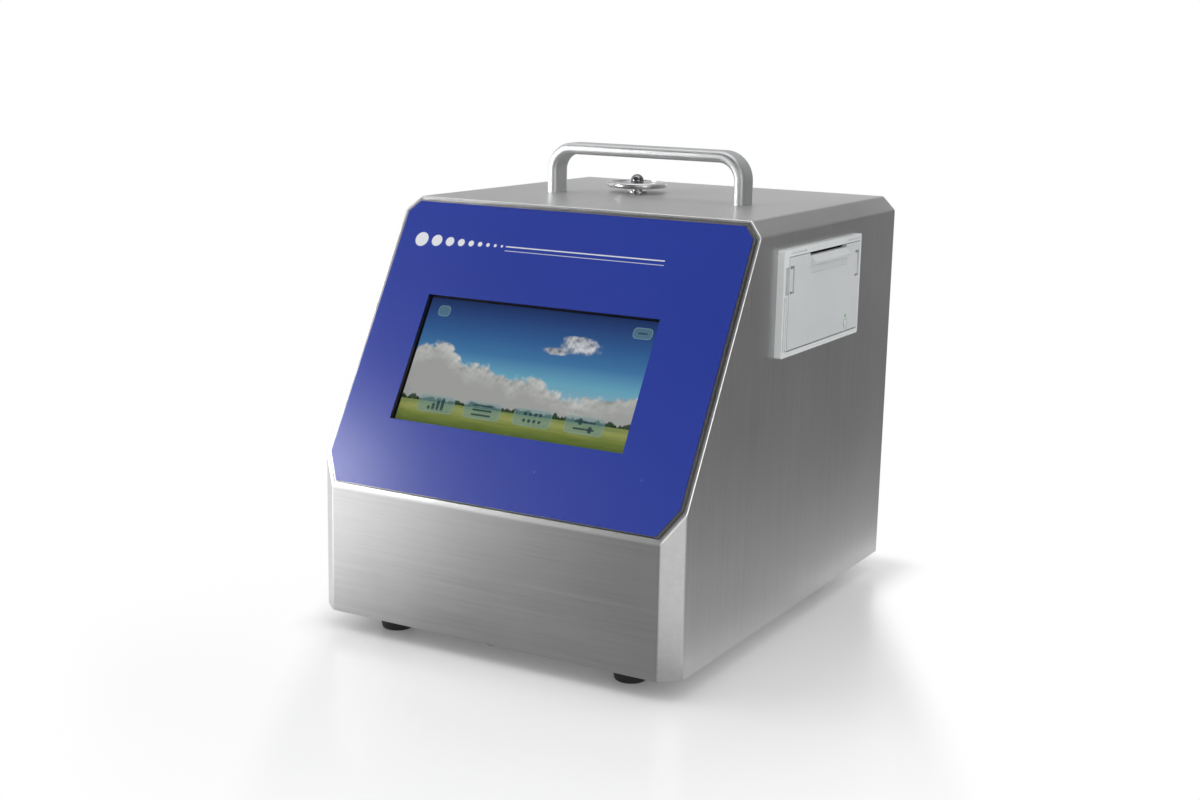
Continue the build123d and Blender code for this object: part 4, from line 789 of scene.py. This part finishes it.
past_side = rise_past(tree, math_node(tree, "ADD", shade_across, SHADE_SHIFT), SHADE_HALF_WIDTH, 4.0)
past_end = rise_past(tree, shade_along, SHADE_HALF_LENGTH, 0.45)
past_shade = vector_node(tree, "LENGTH", put(tree, "CombineXYZ", past_side, past_end).outputs[0], out=1)
fade = put(tree, "MapRange", past_shade, 0.0, 0.12, 0.0, 1.0, interpolation_type="SMOOTHSTEP").outputs[0]
direct = seen_directly(tree)
white = put(tree, "Emission", (1, 1, 1, 1), 1.0).outputs[0]
lift = put(tree, "Emission", (1, 1, 1, 1), math_node(tree, "MULTIPLY", direct, 0.10)).outputs[0]
shaded = put(tree, "AddShader", shader.outputs[0], lift).outputs[0]
whiteness = math_node(tree, "MULTIPLY", math_node(tree, "MULTIPLY", fade, outside), direct)
faded = put(tree, "MixShader", whiteness, shaded, white).outputs[0]
print("shade is", SHADE_HALF_WIDTH * 2, "m wide")


# %% Sheen of the floor
sheen = put(tree, "BsdfAnisotropic", (1, 1, 1, 1), 0.24).outputs[0]
near = vector_node(tree, "LENGTH", vector_node(tree, "MULTIPLY", beyond, (1.0, 0.5, 1.0)), out=1)
close = put(tree, "MapRange", near, 0.04, 0.155, 1.0, 0.0).outputs[0]
close = math_node(tree, "MULTIPLY", close, put(tree, "LightPath").outputs["Is Camera Ray"])
grazing = math_node(tree, "MULTIPLY", put(tree, "Fresnel", 1.34).outputs[0], close)
polished = put(tree, "MixShader", grazing, faded, sheen).outputs[0]
tree.links.new(polished, tree.nodes["Material Output"].inputs[0])
floor_mesh.materials.append(pale)
print("floor material:", len(tree.nodes), "nodes")


# %% [markdown]
# ## Surroundings
#
# The world lights the instrument softly and evenly. Seen directly it has to be white, which
# would be too bright as a light, so it has two strengths: one for what is seen or mirrored,
# and a lower one for the light that falls on surfaces.

# %% Surroundings
world = bpy.data.worlds.new("studio")
bpy.context.scene.world = world
world.use_nodes = True
tree = world.node_tree
tree.nodes.clear()
dim = put(tree, "Background", (0.56, 0.56, 0.56, 1), 1.0).outputs[0]
bright = put(tree, "Background", (1.0, 1.0, 1.0, 1), 1.0).outputs[0]
both = put(tree, "MixShader", seen_directly(tree), dim, bright).outputs[0]
tree.links.new(both, put(tree, "OutputWorld").inputs[0])
print("world:", world.name)


# %% [markdown]
# ## Lamps
#
# Metal and plastic look best under large soft panels, as in a studio. Small lamps would leave
# hard spots. Two panels stand in front to the left and the right and one hangs overhead. The
# left one is hidden from reflections, because it would lie as a veil over the screen.

# %% Lamps
def direction(azimuth, elevation):
    """Unit vector away from the instrument; azimuth 0 is in front of it and 90 on its right."""
    a, e = math.radians(azimuth), math.radians(elevation)
    return Vector((math.sin(a) * math.cos(e), -math.cos(a) * math.cos(e), math.sin(e)))


def soft_panel(name, azimuth, elevation, distance, width, height, brightness, aim=(0, 0, 0.12)):
    """A rectangular lamp; its power follows from its area and how bright its face should look."""
    light = bpy.data.lights.new(name, "AREA")
    light.shape = "RECTANGLE"
    light.size, light.size_y = width, height
    light.energy = brightness * math.pi * width * height
    lamp = bpy.data.objects.new(name, light)
    back = direction(azimuth, elevation)
    lamp.location = Vector(aim) + back * distance
    lamp.rotation_euler = back.to_track_quat("Z", "Y").to_euler()
    bpy.context.collection.objects.link(lamp)
    print(name, "gives", round(light.energy, 1), "W")
    return lamp


left_panel = soft_panel("left softbox", -58, 26, 1.5, 1.0, 1.4, 1.6)
left_panel.visible_glossy = False
soft_panel("right softbox", 66, 26, 1.5, 0.8, 1.2, 1.5)
soft_panel("overhead softbox", 20, 80, 1.4, 1.5, 1.5, 0.6)


# %% [markdown]
# ## Cards for the reflections
#
# Brushed metal has no look of its own: it shows what stands round it. In a studio grey and
# white cards do this, and so they do here. Each is seen only by reflections and only from its
# front. The front of the casing runs from pale to dark, the sides are dark, and one bright
# card puts the pale haze on the lower left of the overlay.

# %% Cards
def grey_card(name, corners, near_grey, far_grey, share=1.0):
    """A flat card, seen only in reflections and from its front, whose grey runs along its first edge."""
    mesh = bpy.data.meshes.new(name)
    mesh.from_pydata(corners, [], [tuple(range(len(corners)))])
    card = bpy.data.objects.new(name, mesh)
    bpy.context.collection.objects.link(card)
    material, tree, shader = new_material(name, (0, 0, 0))
    first, last = Vector(corners[0]), Vector(corners[1])
    run = (last - first) / (last - first).length_squared
    spot = put(tree, "TexCoord").outputs["Object"]
    along = math_node(tree, "SUBTRACT", vector_node(tree, "DOT_PRODUCT", spot, tuple(run), out=1),
                      first.dot(run))
    grey = put(tree, "MapRange", along, 0.0, share, near_grey, far_grey,
               interpolation_type="SMOOTHSTEP").outputs[0]
    glow = put(tree, "Emission", put(tree, "CombineColor", grey, grey, grey).outputs[0], 1.0).outputs[0]
    behind = put(tree, "NewGeometry").outputs["Backfacing"]
    one_sided = put(tree, "MixShader", behind, glow, put(tree, "BsdfTransparent").outputs[0]).outputs[0]
    tree.links.new(one_sided, tree.nodes["Material Output"].inputs[0])
    mesh.materials.append(material)
    card.visible_camera = False
    card.visible_shadow = False
    card.visible_diffuse = False
    card.visible_transmission = False
    print(name, "faces", tuple(round(c, 2) for c in mesh.polygons[0].normal))
    return card


grey_card("front card",
          [(-0.40, -0.47, 0.44), (0.18, -0.47, 0.44), (0.18, -0.47, 0.0), (-0.40, -0.47, 0.0)],
          0.62, 0.22, 0.62)
grey_card("front floor card",
          [(-0.42, -0.47, 0.001), (0.16, -0.47, 0.001), (0.16, -0.13, 0.001), (-0.42, -0.13, 0.001)],
          2.60, 0.29, 0.67)
grey_card("corner floor card",
          [(0.165, -0.47, 0.001), (0.80, -0.47, 0.001), (0.80, -0.11, 0.001), (0.165, -0.11, 0.001)],
          0.74, 0.70)
grey_card("slope card",
          [(-1.30, -0.50, 1.7), (0.80, -0.50, 1.7), (0.80, -0.50, 0.44), (-1.00, -0.50, 0.44)],
          0.05, 0.02, 0.7)
grey_card("haze card",
          [(-0.38, -0.50, 0.435), (-0.38, -0.50, 0.27), (-0.95, -0.40, 0.27), (-0.95, -0.40, 0.435)],
          18.0, 18.0)
grey_card("side card", [(0.30, 1.4, 0.0), (0.30, -0.1, 0.0), (0.30, -0.1, 0.7), (0.30, 1.4, 0.7)], 0.27,
          0.20)
grey_card("side floor card",
          [(0.15, -0.1, 0.001), (0.30, -0.1, 0.001), (0.30, 1.4, 0.001), (0.15, 1.4, 0.001)],
          0.42, 0.30)
grey_card("back card", [(-0.80, 0.30, 0.29), (0.30, 0.30, 0.29), (0.30, 0.30, 0.90), (-0.80, 0.30, 0.90)],
          0.39, 0.58)
grey_card("chamfer card", [(0.13, 0.29, 0.29), (0.45, 0.29, 0.29), (0.45, 0.29, 0.90), (0.13, 0.29, 0.90)],
          0.34, 0.40)


# %% [markdown]
# ## Camera
#
# The camera looks down a little from the front right, with a long lens, so that upright edges
# stay nearly upright. It is placed by angles round a target, because they are easier to read
# than a matrix, and it is turned a little about its own axis.

# %% Camera
CAMERA_AZIMUTH, CAMERA_ELEVATION, CAMERA_ROLL = 29.516, 11.821, 1.238
CAMERA_DISTANCE, CAMERA_LENS = 1.088404, 51.804
camera_target = Vector((-0.0177, -0.0078, 0.1260))
back = direction(CAMERA_AZIMUTH, CAMERA_ELEVATION)
right = Vector((0, 0, 1)).cross(back).normalized()
above = back.cross(right)
roll = math.radians(CAMERA_ROLL)
rolled_right = right * math.cos(roll) + above * math.sin(roll)
rolled_above = above * math.cos(roll) - right * math.sin(roll)
camera_data = bpy.data.cameras.new("camera")
camera_data.lens = CAMERA_LENS
camera_data.sensor_width = 36.0
camera_data.sensor_fit = "HORIZONTAL"
camera = bpy.data.objects.new("camera", camera_data)
turn = Matrix((rolled_right, rolled_above, back)).transposed().to_4x4()
camera.matrix_world = Matrix.Translation(camera_target + back * CAMERA_DISTANCE) @ turn
bpy.context.collection.objects.link(camera)
bpy.context.scene.camera = camera
bpy.context.scene.view_settings.view_transform = "Standard"
print("camera at", tuple(round(c, 3) for c in camera.location))
